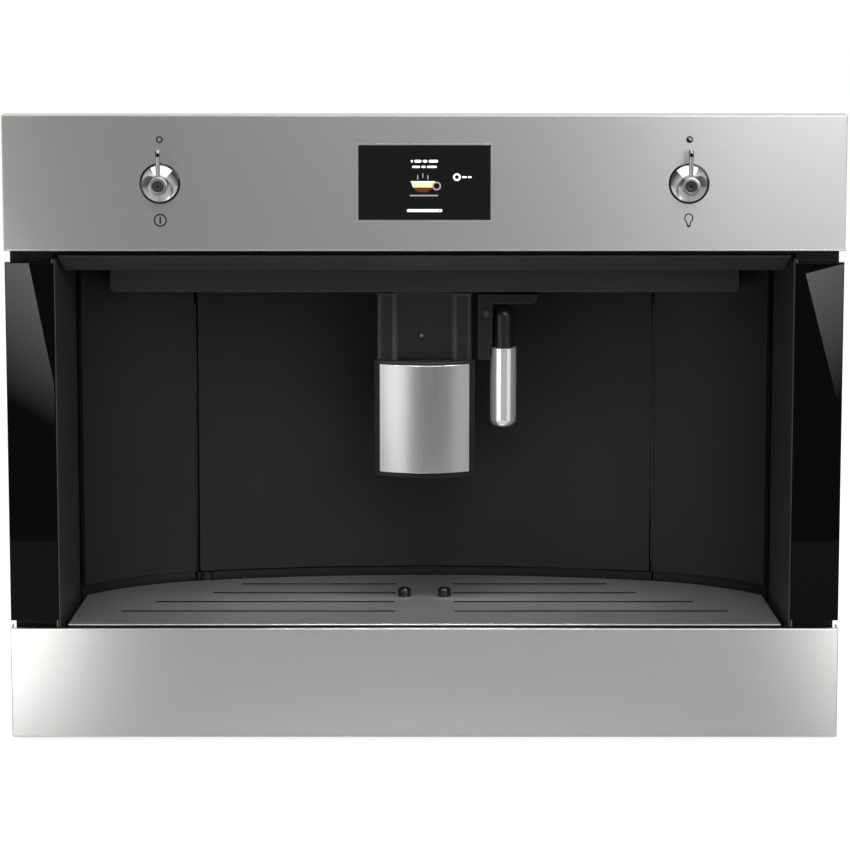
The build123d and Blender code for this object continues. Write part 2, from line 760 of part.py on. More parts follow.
def side_panel():
    """Left side; the right one also has the tank's opening."""
    return block(-case_half, -case_inner, case_front, case_rear, case_bottom, case_top)


def tank_side_panel():
    gap = TANK_OPENING_GAP
    top = tank_bottom + TANK_HEIGHT + TANK_LID
    return mirrored(side_panel()) - block(case_inner - 1, case_half + 1, tank_front - gap,
                                          tank_rear + gap, tank_bottom - gap, top + gap)


def rear_panel():
    panel = block(-case_inner, case_inner, case_rear - CASE_SHEET, case_rear, case_bottom, case_top)
    panel -= block(inlet_x - INLET_WIDTH / 2, inlet_x + INLET_WIDTH / 2, case_rear - CASE_SHEET - CUT,
                   case_rear + CUT, inlet_z - INLET_HEIGHT / 2, inlet_z + INLET_HEIGHT / 2)
    for column in VENT_LEFT:
        for row in range(VENT_COUNT):
            z = case_top - VENT_BELOW_TOP - row * VENT_PITCH
            panel -= block(column, column + VENT_WIDTH, case_rear - CASE_SHEET - CUT, case_rear + CUT,
                           z, z + VENT_HEIGHT)
    for hole in pilot_holes():
        panel -= hole
    return panel


def hopper_room():
    """Plan limits of the bean hopper: x0, x1, y0, y1."""
    return (GRINDER_X - HOPPER_WIDTH / 2, GRINDER_X + HOPPER_WIDTH / 2,
            grinder_y - HOPPER_DEPTH / 2, grinder_y + HOPPER_DEPTH / 2)


def lid_axis():
    """y and z of the hopper lid's hinge."""
    return hopper_room()[3] + LID_BARREL_R + LID_BARREL_BEHIND, lid_low + LID_BARREL_R


def lid_barrels():
    x0, x1, _, _ = hopper_room()
    left, right = x0 + LID_BARREL_INSET, x1 - LID_BARREL_INSET
    return [(left, left + LID_BARREL), (right - LID_BARREL, right)]


def top_cover():
    inner = case_top - CASE_SHEET
    cover = block(-case_inner, case_inner, case_front, case_rear - CASE_SHEET, inner, case_top)
    for side in (-1, 1):
        cover += block(side * (case_inner - CASE_SHEET), side * case_inner, case_front,
                       case_rear - CASE_SHEET, inner - CASE_FLANGE, case_top)
    cover += block(-case_inner, case_inner, case_rear - 2 * CASE_SHEET, case_rear - CASE_SHEET,
                   inner - CASE_FLANGE, case_top)
    x0, x1, y0, y1 = hopper_room()
    margin = LID_MARGIN
    cover -= block(x0 + margin, x1 - margin, y0 + margin, y1 - margin, inner - 1, case_top + 1)
    cover -= post(DIAL_X, grinder_y, inner - 1, case_top + 1, DIAL_SHAFT_R + RUNNING)
    y, z = lid_axis()
    for left, right in lid_barrels():
        lug = LID_LUG + HINGE_SIDE
        for start, end, pin_end in ((left - lug, left - HINGE_SIDE, left + LID_PIN_GRIP),
                                    (right + lug, right + HINGE_SIDE, right - LID_PIN_GRIP)):
            cover += block(start, end, y - LID_BARREL_R, y + LID_BARREL_R, case_top - CASE_SHEET, z)
            cover += bar_x(y, z, start, end, LID_BARREL_R)
            cover += bar_x(y, z, start, pin_end, LID_PIN_R)
    for hole in pilot_holes():
        cover -= hole
    return cover


def case_screws():
    screws = []
    for x, z in screw_places():
        screw = bar_y(x, z, case_rear - SCREW_LENGTH, case_rear, SCREW_SHANK_R)
        screw += bar_y(x, z, case_rear, case_rear + SCREW_HEAD, SCREW_HEAD_R)
        screws.append(screw)
    return screws


# ================================================================ front
def frame_ring(z0, z1, rear, rib_shares):
    """Ribs that stand behind a steel panel, the cross ribs at shares of its half width."""
    half = frame_half - RIB_INSET
    rib = FRAME_RIB
    ring = block(-half, half, PANEL_SHEET, rear, z0, z1)
    ring -= block(-half + rib, half - rib, 0, rear + 1, z0 + rib, z1 - rib)
    for x in [share * frame_half for share in rib_shares]:
        ring += block(x - rib / 2, x + rib / 2, PANEL_SHEET, rear, z0, z1)
    return ring


def front_frame():
    frame = block(-frame_half, frame_half, frame_front, frame_rear, frame_bottom, frame_top)
    opening_half = niche_half_front + NICHE_WALL + SLIDING
    frame -= block(-opening_half, opening_half, 0, frame_rear + 1, floor_top, ceiling_top)
    frame += frame_ring(top_panel_bottom + RIB_INSET, frame_top - RING_INSET, frame_front,
                        CROSS_RIB_SHARE)
    for side in (-1, 1):
        outer = side * (frame_half - PAD_INSET)
        inner = side * (opening_half + PAD_INSET)
        rib = side * FRAME_RIB
        glass_back = GLASS_SET_BACK + GLASS_THICKNESS
        frame += block(inner, outer, glass_back, frame_front, glass_bottom + 1, glass_top - 1)
        frame -= block(inner + rib, outer - rib, glass_back - 1, frame_front,
                       glass_bottom + 1 + FRAME_RIB, glass_top - 1 - FRAME_RIB)
        frame -= bar_y(side * KNOB_X, knob_z, frame_front - 1, frame_rear + 1, PLUNGER_R + FREE)
    return frame


def steel_panel(z0, z1, hem_at_top):
    """Folded sheet: face, deep returns, and a shallow hem on the niche's side."""
    sheet = PANEL_SHEET
    panel = block(-front_half, front_half, 0, PANEL_RETURN, z0, z1)
    panel -= block(-front_half + sheet, front_half - sheet, sheet, PANEL_RETURN + 1, z0 + sheet, z1 - sheet)
    hem_edge = (z1 - sheet, z1) if hem_at_top else (z0, z0 + sheet)
    panel -= block(-front_half + sheet, front_half - sheet, PANEL_HEM, PANEL_RETURN + 1,
                   hem_edge[0] - 1, hem_edge[1] + 1)
    front_edges = panel.edges().filter_by(Plane.XZ).group_by(Axis.Y)[0]
    outline = [e for e in front_edges if e.length > PANEL_RETURN]
    return fillet(outline, PANEL_EDGE_ROUND)


def top_panel():
    panel = steel_panel(top_panel_bottom, front_top, hem_at_top=False)
    half, height = DISPLAY_WIDTH / 2 + DISPLAY_GAP, DISPLAY_HEIGHT / 2 + DISPLAY_GAP
    panel -= block(-half, half, -1, PANEL_SHEET + 1, display_z - height, display_z + height)
    for side in (-1, 1):
        panel -= bar_y(side * KNOB_X, knob_z, -1, PANEL_SHEET + 1, ROSETTE_TOP_R)
    return panel


def bottom_panel():
    return steel_panel(front_bottom, bottom_panel_top, hem_at_top=True)


def glass_panel():
    """Right black glass strip beside the niche."""
    glass = block(glass_inner, glass_outer, GLASS_SET_BACK, GLASS_SET_BACK + GLASS_THICKNESS,
                  glass_bottom, glass_top)
    return chamfer(glass.edges().group_by(Axis.Y)[0], GLASS_CHAMFER)


# ================================================================ niche
def niche_wall():
    """Right side wall with its slight taper, thin front edge and closing return."""
    wall = NICHE_WALL
    closure = NICHE_WALL_REAR + NICHE_RETURN
    inner_end = niche_half_rear - NICHE_RETURN_WIDTH
    bead = niche_half_front + NICHE_BEAD
    shoulder = NICHE_WALL_FRONT + NICHE_BEAD_DEPTH
    outline = Polyline((niche_half_front, NICHE_WALL_FRONT), (niche_half_rear, NICHE_WALL_REAR),
                       (niche_half_rear, closure - wall), (inner_end, closure - wall),
                       (inner_end, closure), (niche_half_rear + wall, closure),
                       (niche_half_rear + wall, NICHE_WALL_REAR), (niche_half_front + wall, shoulder),
                       (bead, shoulder), (bead, NICHE_WALL_FRONT), close=True)
    shell = upright(outline.edges(), floor_top, ceiling_bottom)
    return shell - block(inner_end, bead + NICHE_WALL, 0, frame_rear, floor_top - 1, bottom_panel_top + 1)


def niche_floor():
    """Floor that carries the tray, with the sill under the door and side panels."""
    floor = niche_room(-SILL_SET_BACK - SILL, niche_half_front, frame_rear,
                       floor_top - FLOOR_SHEET, floor_top)
    near, far = SILL_SET_BACK, SILL_SET_BACK + SILL
    floor += arc_wall(on_back, -seam_angle, seam_angle, near, far, floor_top - 1, door_sill_top)
    side = arc_wall(on_side, seam_angle + SEAM_GAP / 2 / SIDE_RADIUS, end_angle, near, far,
                    floor_top - 1, side_sill_top)
    floor += side
    floor += mirrored(side)
    x, y = door_axis()
    floor += post(x, y, floor_top - 1, door_sill_top, DOOR_BOSS_R)
    floor -= post(x, y, door_sill_top - DOOR_PIN_GRIP, door_sill_top + 5, DOOR_PIN_R)
    return floor


def back_panel():
    """Right fixed part of the curved back."""
    start = seam_angle + SEAM_GAP / 2 / SIDE_RADIUS
    return arc_wall(on_side, start, end_angle, 0, BACK_PANEL, back_panel_bottom, ceiling_bottom)


def visor():
    """Slanted bar along the niche's upper front edge, with the niche ceiling."""
    top = ceiling_top
    low = ceiling_bottom - VISOR_DROP
    wall = VISOR_WALL
    section = Polyline((0, VISOR_FRONT, top), (0, VISOR_REAR, low), (0, VISOR_REAR + wall, low),
                       (0, VISOR_REAR + wall, ceiling_bottom), (0, NICHE_DEPTH, ceiling_bottom),
                       (0, NICHE_DEPTH, top), close=True)
    bar = Pos(-niche_half_front, 0, 0) * extrude(make_face(section.edges()),
                                                amount=2 * niche_half_front, dir=(1, 0, 0))
    end_top = niche_half_front - VISOR_END_GAP
    end_low = end_top - VISOR_MITRE
    ends = Polyline((-end_top, 0, top), (end_top, 0, top),
                    (end_low, 0, low), (-end_low, 0, low), close=True)
    bar &= extrude(make_face(ends.edges()), amount=NICHE_DEPTH + 5, dir=(0, 1, 0))
    bar &= niche_room(-BACK_PANEL, niche_half_front - 0.6, 0, low - 1, top + 1)
    return bar


def lamp():
    """Right niche lamp: a frosted bar behind the visor."""
    y0 = VISOR_REAR + VISOR_WALL + LAMP_BEHIND_VISOR
    lens = block(LAMP_X - LAMP_LENGTH / 2, LAMP_X + LAMP_LENGTH / 2, y0, y0 + LAMP_DEPTH,
                 ceiling_bottom - LAMP_HEIGHT, ceiling_bottom)
    return fillet(lens.edges().group_by(Axis.Z)[0], 1.0)


def niche_header():
    """Housing above the door, in front of the curved back."""
    wall = HEADER_WALL
    rear = NICHE_DEPTH + DOOR_THICKNESS + HEADER_BEHIND_DOOR
    outer = block(-header_half, header_half, HEADER_FRONT, rear, header_bottom, ceiling_bottom)
    over_door = seam_half - HEADER_CORNER
    outer &= niche_room(SLIDING, niche_half_front, 0, header_bottom - 1, ceiling_bottom + 1) \
        + block(-over_door, over_door, HEADER_FRONT, rear, header_bottom, ceiling_bottom)
    inner = block(-header_half + wall, header_half - wall, HEADER_FRONT + wall, rear + 1,
                  header_bottom + wall, ceiling_bottom + 1)
    inner &= niche_room(wall + SLIDING, niche_half_front, 0, header_bottom - 1, ceiling_bottom + 2)
    low_edges = outer.edges().filter_by(Axis.Y).group_by(Axis.Z)[0].sort_by(Axis.X)
    corners = [low_edges[0], low_edges[-1]]
    header = fillet(corners, HEADER_CORNER) - inner
    x, y = door_axis()
    pin_top = header_bottom + DOOR_PIN_GRIP - 2 * DOOR_PIN_END_GAP
    header += post(x, y, header_bottom, header_bottom + DOOR_PIN_GRIP, DOOR_BOSS_R)
    header -= post(x, y, header_bottom - CUT, pin_top, DOOR_PIN_R)
    return header


# ================================================================ service door
door_half_angle = seam_angle - SEAM_GAP / 2 / BACK_RADIUS


def door_axis():
    """x and y of the door's two pivot pins, inside its left rim."""
    return on_back(-door_half_angle + DOOR_PIN_INSET / BACK_RADIUS, DOOR_THICKNESS / 2)


def service_door():
    door = arc_wall(on_back, -door_half_angle, door_half_angle, 0, DOOR_THICKNESS,
                    back_panel_bottom, door_top)
    door -= arc_wall(on_back, -door_half_angle + DOOR_HINGE_RIM / BACK_RADIUS,
                     door_half_angle - DOOR_RIM / BACK_RADIUS, DOOR_SKIN, DOOR_THICKNESS + 1,
                     back_panel_bottom + DOOR_RIM, door_top - DOOR_RIM)
    x, y = door_axis()
    hole = DOOR_PIN_R + RUNNING
    door -= post(x, y, back_panel_bottom - 1, back_panel_bottom + DOOR_PIN_GRIP, hole)
    door -= post(x, y, door_top - DOOR_PIN_GRIP, door_top + 1, hole)
    return door - bar_y(BREW_X, outlet_z, NICHE_DEPTH - 5, NICHE_DEPTH + DOOR_THICKNESS, PORT_R)


def door_pins():
    x, y = door_axis()
    low = post(x, y, door_sill_top - DOOR_PIN_GRIP, back_panel_bottom + DOOR_PIN_GRIP - DOOR_PIN_END_GAP,
               DOOR_PIN_R)
    pin_top = header_bottom + DOOR_PIN_GRIP - 2 * DOOR_PIN_END_GAP
    high = post(x, y, door_top - DOOR_PIN_GRIP + DOOR_PIN_END_GAP, pin_top, DOOR_PIN_R)
    return low, high


def magnet_place():
    """Catch behind the door's free edge, carried by the chassis front."""
    from_edge = DOOR_RIM + MAGNET / 2 + MAGNET_FROM_RIM
    x, y = on_back(door_half_angle - from_edge / BACK_RADIUS, DOOR_THICKNESS)
    return x, y + DOOR_CATCH_GAP


def door_magnet():
    x, y = magnet_place()
    z = (back_panel_bottom + door_top) / 2
    return block(x - MAGNET / 2, x + MAGNET / 2, y, chassis_front, z - MAGNET, z + MAGNET)


# ================================================================ spout
spout_sag = SPOUT_SHOULDER - SPOUT_FRONT
spout_radius = (spout_half ** 2 + spout_sag ** 2) / (2 * spout_sag)
spout_centre = (0.0, SPOUT_FRONT + spout_radius)


def spout_guide():
    """Black pillar on the door that the spout slides on."""
    guide = block(-GUIDE_HALF, GUIDE_HALF, GUIDE_FRONT, NICHE_DEPTH, guide_bottom, guide_top)
    guide &= in_front_of_door(0, guide_bottom - 1, guide_top + 1)
    front_edges = guide.edges().filter_by(Axis.Z).group_by(Axis.Y)[0]
    guide = fillet(front_edges, GUIDE_ROUND)
    wall = GUIDE_WALL
    guide -= block(-GUIDE_HALF + wall, GUIDE_HALF - wall, GUIDE_FRONT + GUIDE_RECESS + wall,
                   NICHE_DEPTH + 1, guide_bottom + wall, guide_top - wall)
    guide -= block(-GUIDE_RECESS_HALF, GUIDE_RECESS_HALF, GUIDE_FRONT - 1, GUIDE_FRONT + GUIDE_RECESS,
                   guide_bottom + wall, guide_top + 1)
    return guide


def spout_slider():
    """Black spout body: curved front, sides round the guide, thick floor."""
    outline = [ThreePointArc((-spout_half, SPOUT_SHOULDER), (0, SPOUT_FRONT),
                             (spout_half, SPOUT_SHOULDER)),
               Line((spout_half, SPOUT_SHOULDER), (spout_half, SPOUT_REAR)),
               Line((spout_half, SPOUT_REAR), (-spout_half, SPOUT_REAR)),
               Line((-spout_half, SPOUT_REAR), (-spout_half, SPOUT_SHOULDER))]
    slider = upright(outline, spout_bottom, spout_top)
    room = GUIDE_HALF + SLIDING
    slider -= block(-room, room, GUIDE_FRONT - SLIDING, SPOUT_REAR + 1,
                    spout_bottom + SPOUT_FLOOR, spout_top + 1)
    for side in (-1, 1):
        x = side * NOZZLE_X
        slider += post(x, nozzle_y, spout_bottom - NOZZLE_BELOW, spout_bottom + 1, NOZZLE_R)
        slider -= post(x, nozzle_y, spout_bottom - NOZZLE_BELOW - 1, spout_bottom + SPOUT_FLOOR + 1,
                       NOZZLE_BORE)
    return slider


def spout_face():
    """Brushed steel shield on the spout's curved front."""
    angle = math.asin((spout_half - FACE_INSET) / (spout_radius + FACE_SHEET))

    def on_spout(a, outset):
        radius = spout_radius + outset
        return (spout_centre[0] + radius * math.sin(a), spout_centre[1] - radius * math.cos(a))

    return arc_wall(on_spout, -angle, angle, FACE_GLUE, FACE_GLUE + FACE_SHEET,
                    spout_bottom + FACE_BOTTOM_LIP, spout_top - FACE_TOP_LIP)


# ================================================================ hot-water wand
def wand_bracket():
    """Arm from the door with the cheek that the wand pivots on."""
    arm = block(arm_left, arm_right, ARM_FRONT, NICHE_DEPTH, arm_top - ARM_THICKNESS, arm_top)
    tip = [e for e in arm.edges().filter_by(Axis.Y) if e.center().X > arm_right - 1
           and e.center().Z < arm_top - 1]
    arm = chamfer(tip, ARM_CHAMFER)
    arm += block(arm_left, cheek_right, ARM_FRONT, ARM_FRONT + CHEEK_DEPTH, cheek_bottom, arm_top)
    arm &= in_front_of_door(0, cheek_bottom - 1, arm_top + 1)
    arm -= block(wand_x - WAND_TUBE_R - WAND_SIDE_GAP, cheek_right + 1, ARM_FRONT - 1,
                 ARM_FRONT + CHEEK_DEPTH + 1, cheek_bottom - 1, wand_tube_top + 3)
    arm -= bar_x(WAND_Y, wand_pivot_z, cheek_right - WAND_PIN_GRIP, cheek_right + 1, WAND_PIN_R + RUNNING)
    return arm


def wand_sleeve():
    """Black grip that turns on a short pin in the cheek."""
    sleeve = post(wand_x, WAND_Y, wand_tube_top, wand_pivot_z, WAND_SLEEVE_R)
    sleeve += Pos(wand_x, WAND_Y, wand_pivot_z) * Sphere(WAND_SLEEVE_R)
    sleeve += bar_x(WAND_Y, wand_pivot_z, cheek_right - WAND_PIN_GRIP + 0.5, wand_x, WAND_PIN_R)
    return sleeve


def wand_tube():
    """Polished outlet tube with a rounded mouth."""
    tube = post(wand_x, WAND_Y, wand_tube_bottom, wand_tube_top, WAND_TUBE_R)
    tube = fillet(tube.edges().group_by(Axis.Z)[0], WAND_TUBE_ROUND)
    return tube - post(wand_x, WAND_Y, wand_tube_bottom - CUT, wand_tube_bottom + WAND_BORE_DEPTH, WAND_BORE)


# ================================================================ drip tray
def cup_grid():
    """Steel plate that the cups stand on, with four rows of slots on each side."""
    grid = niche_room(GRID_GAP, grid_half_front, GRID_FRONT, tray_top - GRID_SHEET, tray_top)
    front = [e for e in grid.edges().filter_by(Axis.X) if e.center().Z > tray_top - 0.1
             and e.center().Y < GRID_FRONT + 1]
    grid = fillet(front, GRID_LIP_SHEET)
    lip_half = grid_half_front - GRID_SIDE_GAP
    grid += block(-lip_half, lip_half, GRID_FRONT, GRID_FRONT + GRID_LIP_SHEET,
                  tray_top - GRID_SHEET - GRID_LIP, tray_top - GRID_SHEET)
    for y, outer in SLOT_ROWS:
        for side in (-1, 1):
            slot = Pos(side * (SLOT_INNER + outer) / 2, y, tray_top - GRID_SHEET - 1) \
                * extrude(SlotOverall(outer - SLOT_INNER, SLOT_WIDTH), amount=GRID_SHEET + 2)
            grid -= slot
    for side in (-1, 1):
        grid -= post(side * STUD_X, STUD_Y, tray_top - 5, tray_top + 1, STUD_SHANK_R)
    return grid


def drip_tray():
    """Basin that hangs in the niche floor and carries the cup grid on its rim."""
    half = grid_half_front - BASIN_GAP
    wall = BASIN_WALL
    basin = niche_room(GRID_GAP + BASIN_GAP, half, basin_front, basin_bottom, basin_top)
    basin -= niche_room(GRID_GAP + BASIN_GAP + wall, half - wall, basin_front + wall,
                        basin_bottom + wall, basin_top + 1)
    rim_half = niche_half_front - RIM_END_GAP
    basin += block(-rim_half, rim_half, RIM_FRONT, basin_front + wall, basin_top - wall, basin_top)
    return basin


def grid_studs():
    """Two round grips by which the grid is lifted, with their shanks through it."""
    studs = []
    for side in (-1, 1):
        head = post(side * STUD_X, STUD_Y, tray_top, tray_top + STUD_ABOVE, STUD_R)
        head = fillet(head.edges().group_by(Axis.Z)[-1], STUD_ROUND)
        low = tray_top - GRID_SHEET
        studs.append(head + post(side * STUD_X, STUD_Y, low, tray_top + 1, STUD_SHANK_R))
    return studs


def drawer_carrier():
    """Ribbed piece that joins the bottom panel to the basin through the frame."""
    top = basin_top - BASIN_WALL
    carrier = frame_ring(frame_bottom + RING_INSET, basin_top - GRID_LIP - FREE, frame_front - SLIDING,
                         CARRIER_RIB_SHARE)
    neck_bottom = floor_top + NECK_ABOVE_FLOOR
    neck_half = niche_half_front - NECK_END_GAP
    carrier += block(-neck_half, neck_half, frame_front - SLIDING - FRAME_RIB, basin_front,
                     neck_bottom, top)
    carrier -= block(-neck_half + FRAME_RIB, neck_half - FRAME_RIB, frame_front - SLIDING,
                     basin_front + 1, neck_bottom + FRAME_RIB, top - FRAME_RIB)
    return carrier


# ================================================================ display and selectors
def display_glass():
    half, height = DISPLAY_WIDTH / 2, DISPLAY_HEIGHT / 2
    pane = block(-half, half, pane_front, pane_rear, display_z - height, display_z + height)
    return chamfer(pane.edges().group_by(Axis.Y)[0], DISPLAY_CHAMFER)


def control_board():
    """Screen module and its circuit board, on four posts of the frame plate."""
    half = DISPLAY_WIDTH / 2 + DISPLAY_MODULE_MARGIN
    height = DISPLAY_HEIGHT / 2 + DISPLAY_MODULE_MARGIN
    unit = block(-half, half, pane_rear, board_front, display_z - height, display_z + height)
    board_half = half + CONTROL_BOARD_MARGIN
    board_height = height + CONTROL_BOARD_MARGIN
    board_rear = board_front + CONTROL_BOARD
    unit += block(-board_half, board_half, board_front, board_rear,
                  display_z - board_height, display_z + board_height)
    post_x, post_z = board_half - BOARD_POST_INSET, board_height - BOARD_POST_INSET
    for x in (-post_x, post_x):
        for z in (display_z - post_z, display_z + post_z):
            unit += bar_y(x, z, board_front, frame_front, BOARD_POST_R)
    return unit


def knob_rosette():
    """Polished cone round the right selector."""
    cone = cone_y(KNOB_X, knob_z, 0, -ROSETTE_HEIGHT, ROSETTE_R, ROSETTE_TOP_R)
    return cone - bar_y(KNOB_X, knob_z, -ROSETTE_HEIGHT - 1, 1, PLUNGER_R + SLIDING)


def selector_knob():
    """Hub and lever of the right selector, turning on the plunger's spindle."""
    hub = bar_y(KNOB_X, knob_z, -KNOB_REACH, hub_rear, HUB_R)
    hub = fillet(hub.edges().group_by(Axis.Y)[0], HUB_ROUND)
    root, tip = LEVER_ROOT_WIDTH / 2, LEVER_WIDTH / 2
    lever_front = -KNOB_REACH + LEVER_SET_BACK
    straight = LEVER_LENGTH - tip
    outline = Polyline((-root, 0), (root, 0), (tip, straight), (-tip, straight), close=True)
    lever = extrude(make_face(outline.edges()), amount=LEVER_THICKNESS)
    lever += Pos(0, straight, LEVER_THICKNESS / 2) * Cylinder(tip, LEVER_THICKNESS)
    stand = Pos(KNOB_X, lever_front + LEVER_THICKNESS, knob_z) * Rot(90, 0, 0)
    knob = hub + stand * lever
    knob -= bar_y(KNOB_X, knob_z, hub_rear - SPINDLE_GRIP, hub_rear + CUT, SPINDLE_R + RUNNING)
    knob -= bar_y(KNOB_X, knob_z, -KNOB_REACH - CUT, -KNOB_REACH + HUB_DISC_DEPTH, HUB_DISC_R)
    return knob


def knob_plunger():
    """Right spindle: it presses straight in and carries the turning knob."""
    spindle = bar_y(KNOB_X, knob_z, hub_rear - SPINDLE_GRIP + FREE, hub_rear + CUT, SPINDLE_R)
    spindle += bar_y(KNOB_X, knob_z, hub_rear + SLIDING, frame_rear + PLUNGER_INSERT - CUT, PLUNGER_R)
    return spindle


def encoder():
    """Right switch body behind the frame plate."""
    half = ENCODER_WIDTH / 2
    rear = frame_rear + ENCODER_DEPTH
    body = block(KNOB_X - half, KNOB_X + half, frame_rear, rear, encoder_top - ENCODER_HEIGHT, encoder_top)
    return body - bar_y(KNOB_X, knob_z, frame_rear - CUT, rear - CUT, PLUNGER_R + SLIDING)


# ================================================================ inner chassis
def inner_chassis():
    """Folded sheet: two walls, the bay floor between them and the grinder deck on top."""
    sheet = CHASSIS_SHEET
    half = chassis_half
    front, rear = chassis_front, chassis_rear
    frame = block(-half, half, front, rear, pan_top, deck_top)
    frame -= block(-half + sheet, half - sheet, front - 1, rear + 1, bay_floor_top, deck_top - sheet)
    frame -= block(-half + sheet, half - sheet, front - 1, rear + 1, pan_top - 1, bay_floor_top - sheet)
    frame -= post(GRINDER_X, grinder_y, deck_top - sheet - CUT, deck_top + CUT, MOTOR_R + MOTOR_HOLE_GAP)
    frame += block(half - CATCH_FLANGE, half, front, front + sheet, bay_floor_top, deck_top)
    for x in (-half, half):
        frame -= bar_x(hose_y, pump_z, x - sheet - CUT, x + sheet + CUT, HOSE_PASS_R)
    return frame - bar_x(steam_y, steam_z, -half - CUT, -half + sheet + CUT, HOSE_PASS_R)


# ================================================================ water tank
def tank_shelf():
    """Bracket between the chassis wall and the casing, with the docking spigot."""
    low = shelf_top - TANK_SHELF
    shelf = block(chassis_half, case_inner, tank_front, tank_rear, low, shelf_top)
    lug = tank_inner_x - DOCK_LUG_GAP
    shelf += block(chassis_half, lug, dock_y - DOCK_LUG, dock_y + DOCK_LUG, low, dock_z + DOCK_LUG)
    shelf += bar_x(dock_y, dock_z, lug - CUT, lug + DOCK_LENGTH, DOCK_R)
    shelf -= bar_x(dock_y, dock_z, suction_x, lug + DOCK_LENGTH + CUT, DOCK_BORE)
    shelf -= post(suction_x, dock_y, low - CUT, dock_z, HOSE_R / 2)
    return shelf


def water_tank():
    """Tank that pulls out sideways once the machine is drawn forward."""
    wall = TANK_WALL
    tank = block(tank_inner_x, case_half, tank_front, tank_rear, tank_bottom, tank_top)
    tank = fillet(tank.edges().filter_by(Axis.Z), TANK_CORNER)
    room = block(tank_inner_x + wall, case_half - wall, tank_front + wall, tank_rear - wall,
                 tank_bottom + wall, tank_top + 1)
    grip_y = (tank_front + tank_rear) / 2
    grip = (case_half - GRIP_DEPTH, case_half + 1, grip_y - GRIP_LENGTH / 2, grip_y + GRIP_LENGTH / 2,
            grip_z - GRIP_HEIGHT / 2, grip_z + GRIP_HEIGHT / 2)
    room -= block(grip[0] - wall, grip[1], grip[2] - wall, grip[3] + wall, grip[4] - wall, grip[5] + wall)
    tank -= room
    tank -= block(*grip)
    tank -= bar_x(dock_y, dock_z, tank_inner_x - 1, tank_inner_x + wall + 1, DOCK_R + FREE)
    return tank


def tank_lid():
    """Push-on lid with a filling port in its middle."""
    wall = TANK_WALL + FREE
    lid = block(tank_inner_x, case_half, tank_front, tank_rear, tank_top, tank_top + TANK_LID)
    lid = fillet(lid.edges().filter_by(Axis.Z), TANK_CORNER)
    lid += block(tank_inner_x + wall, case_half - wall, tank_front + wall, tank_rear - wall,
                 tank_top - TANK_LID_PLUG, tank_top)
    x, y = (tank_inner_x + case_half) / 2, (tank_front + tank_rear) / 2
    port = block(x - FILL_PORT_WIDTH / 2, x + FILL_PORT_WIDTH / 2, y - FILL_PORT_DEPTH / 2,
                 y + FILL_PORT_DEPTH / 2, tank_top - TANK_LID_PLUG - CUT, tank_top + TANK_LID + CUT)
    return lid - fillet(port.edges().filter_by(Axis.Z), TANK_CORNER)


# ================================================================ grinder
def grinder_housing():
    """Housing with the fixed ring burr, standing on the deck."""
    body = post(GRINDER_X, grinder_y, deck_top, grinder_top, GRINDER_R)
    body -= post(GRINDER_X, grinder_y, deck_top + GRINDER_FLOOR, grinder_top + CUT, RING_BURR_R)
    body -= post(GRINDER_X, grinder_y, deck_top - CUT, grinder_top, MOTOR_SHAFT_R + SLIDING)
    return body


def grinder_burr():
    """Conical burr on its shaft."""
    low = deck_top + GRINDER_FLOOR + SLIDING
    cone = Pos(GRINDER_X, grinder_y, low + BURR_HEIGHT / 2) * Cone(BURR_BASE_R, BURR_TOP_R, BURR_HEIGHT)
    return cone + post(GRINDER_X, grinder_y, deck_top - BURR_SHAFT_BELOW, low + CUT, MOTOR_SHAFT_R)


def grinder_motor():
    """Motor hung below the housing through the deck."""
    can = post(GRINDER_X, grinder_y, deck_top - MOTOR_LENGTH, deck_top, MOTOR_R)
    hole_bottom = deck_top - BURR_SHAFT_BELOW - CUT
    return can - post(GRINDER_X, grinder_y, hole_bottom, deck_top + CUT, MOTOR_SHAFT_R + SLIDING)


def bean_hopper():
    """Hopper from the grinder's mouth up to the casing's top."""
    x0, x1, y0, y1 = hopper_room()
    straight_bottom = hopper_rim - HOPPER_STRAIGHT
    throat = HOPPER_THROAT / 2

    def shell(inset, z_low, z_high):
        upper = Pos(GRINDER_X, grinder_y, straight_bottom) * Rectangle(HOPPER_WIDTH - 2 * inset,
                                                                    HOPPER_DEPTH - 2 * inset)
        lower = Pos(GRINDER_X, grinder_y, z_low) * Rectangle(2 * throat - 2 * inset, 2 * throat - 2 * inset)
        funnel = loft([lower.face(), upper.face()])
        return funnel + block(x0 + inset, x1 - inset, y0 + inset, y1 - inset, straight_bottom, z_high)

    return shell(0, grinder_top, hopper_rim) - shell(HOPPER_WALL, grinder_top, hopper_rim + CUT)


def hopper_lid():
    """Lid over the beans, hinged at its rear edge."""
    x0, x1, y0, y1 = hopper_room()
    y, z = lid_axis()
    low = lid_low
    lid = block(x0, x1, y0, y1, low, low + LID_SHEET)
    lid = fillet(lid.edges().filter_by(Axis.Z), LID_CORNER)
    plug = LID_MARGIN + LID_PLUG_GAP
    lid += block(x0 + plug, x1 - plug, y0 + plug, y1 - plug - LID_PLUG_REAR_GAP, low - LID_PLUG, low + 1)
    for left, right in lid_barrels():
        lid += block(left, right, y1 - CUT, y, low + CUT, low + LID_SHEET)
        lid += bar_x(y, z, left, right, LID_BARREL_R)
        lid -= bar_x(y, z, left - 1, right + 1, LID_PIN_R + RUNNING)
    return lid


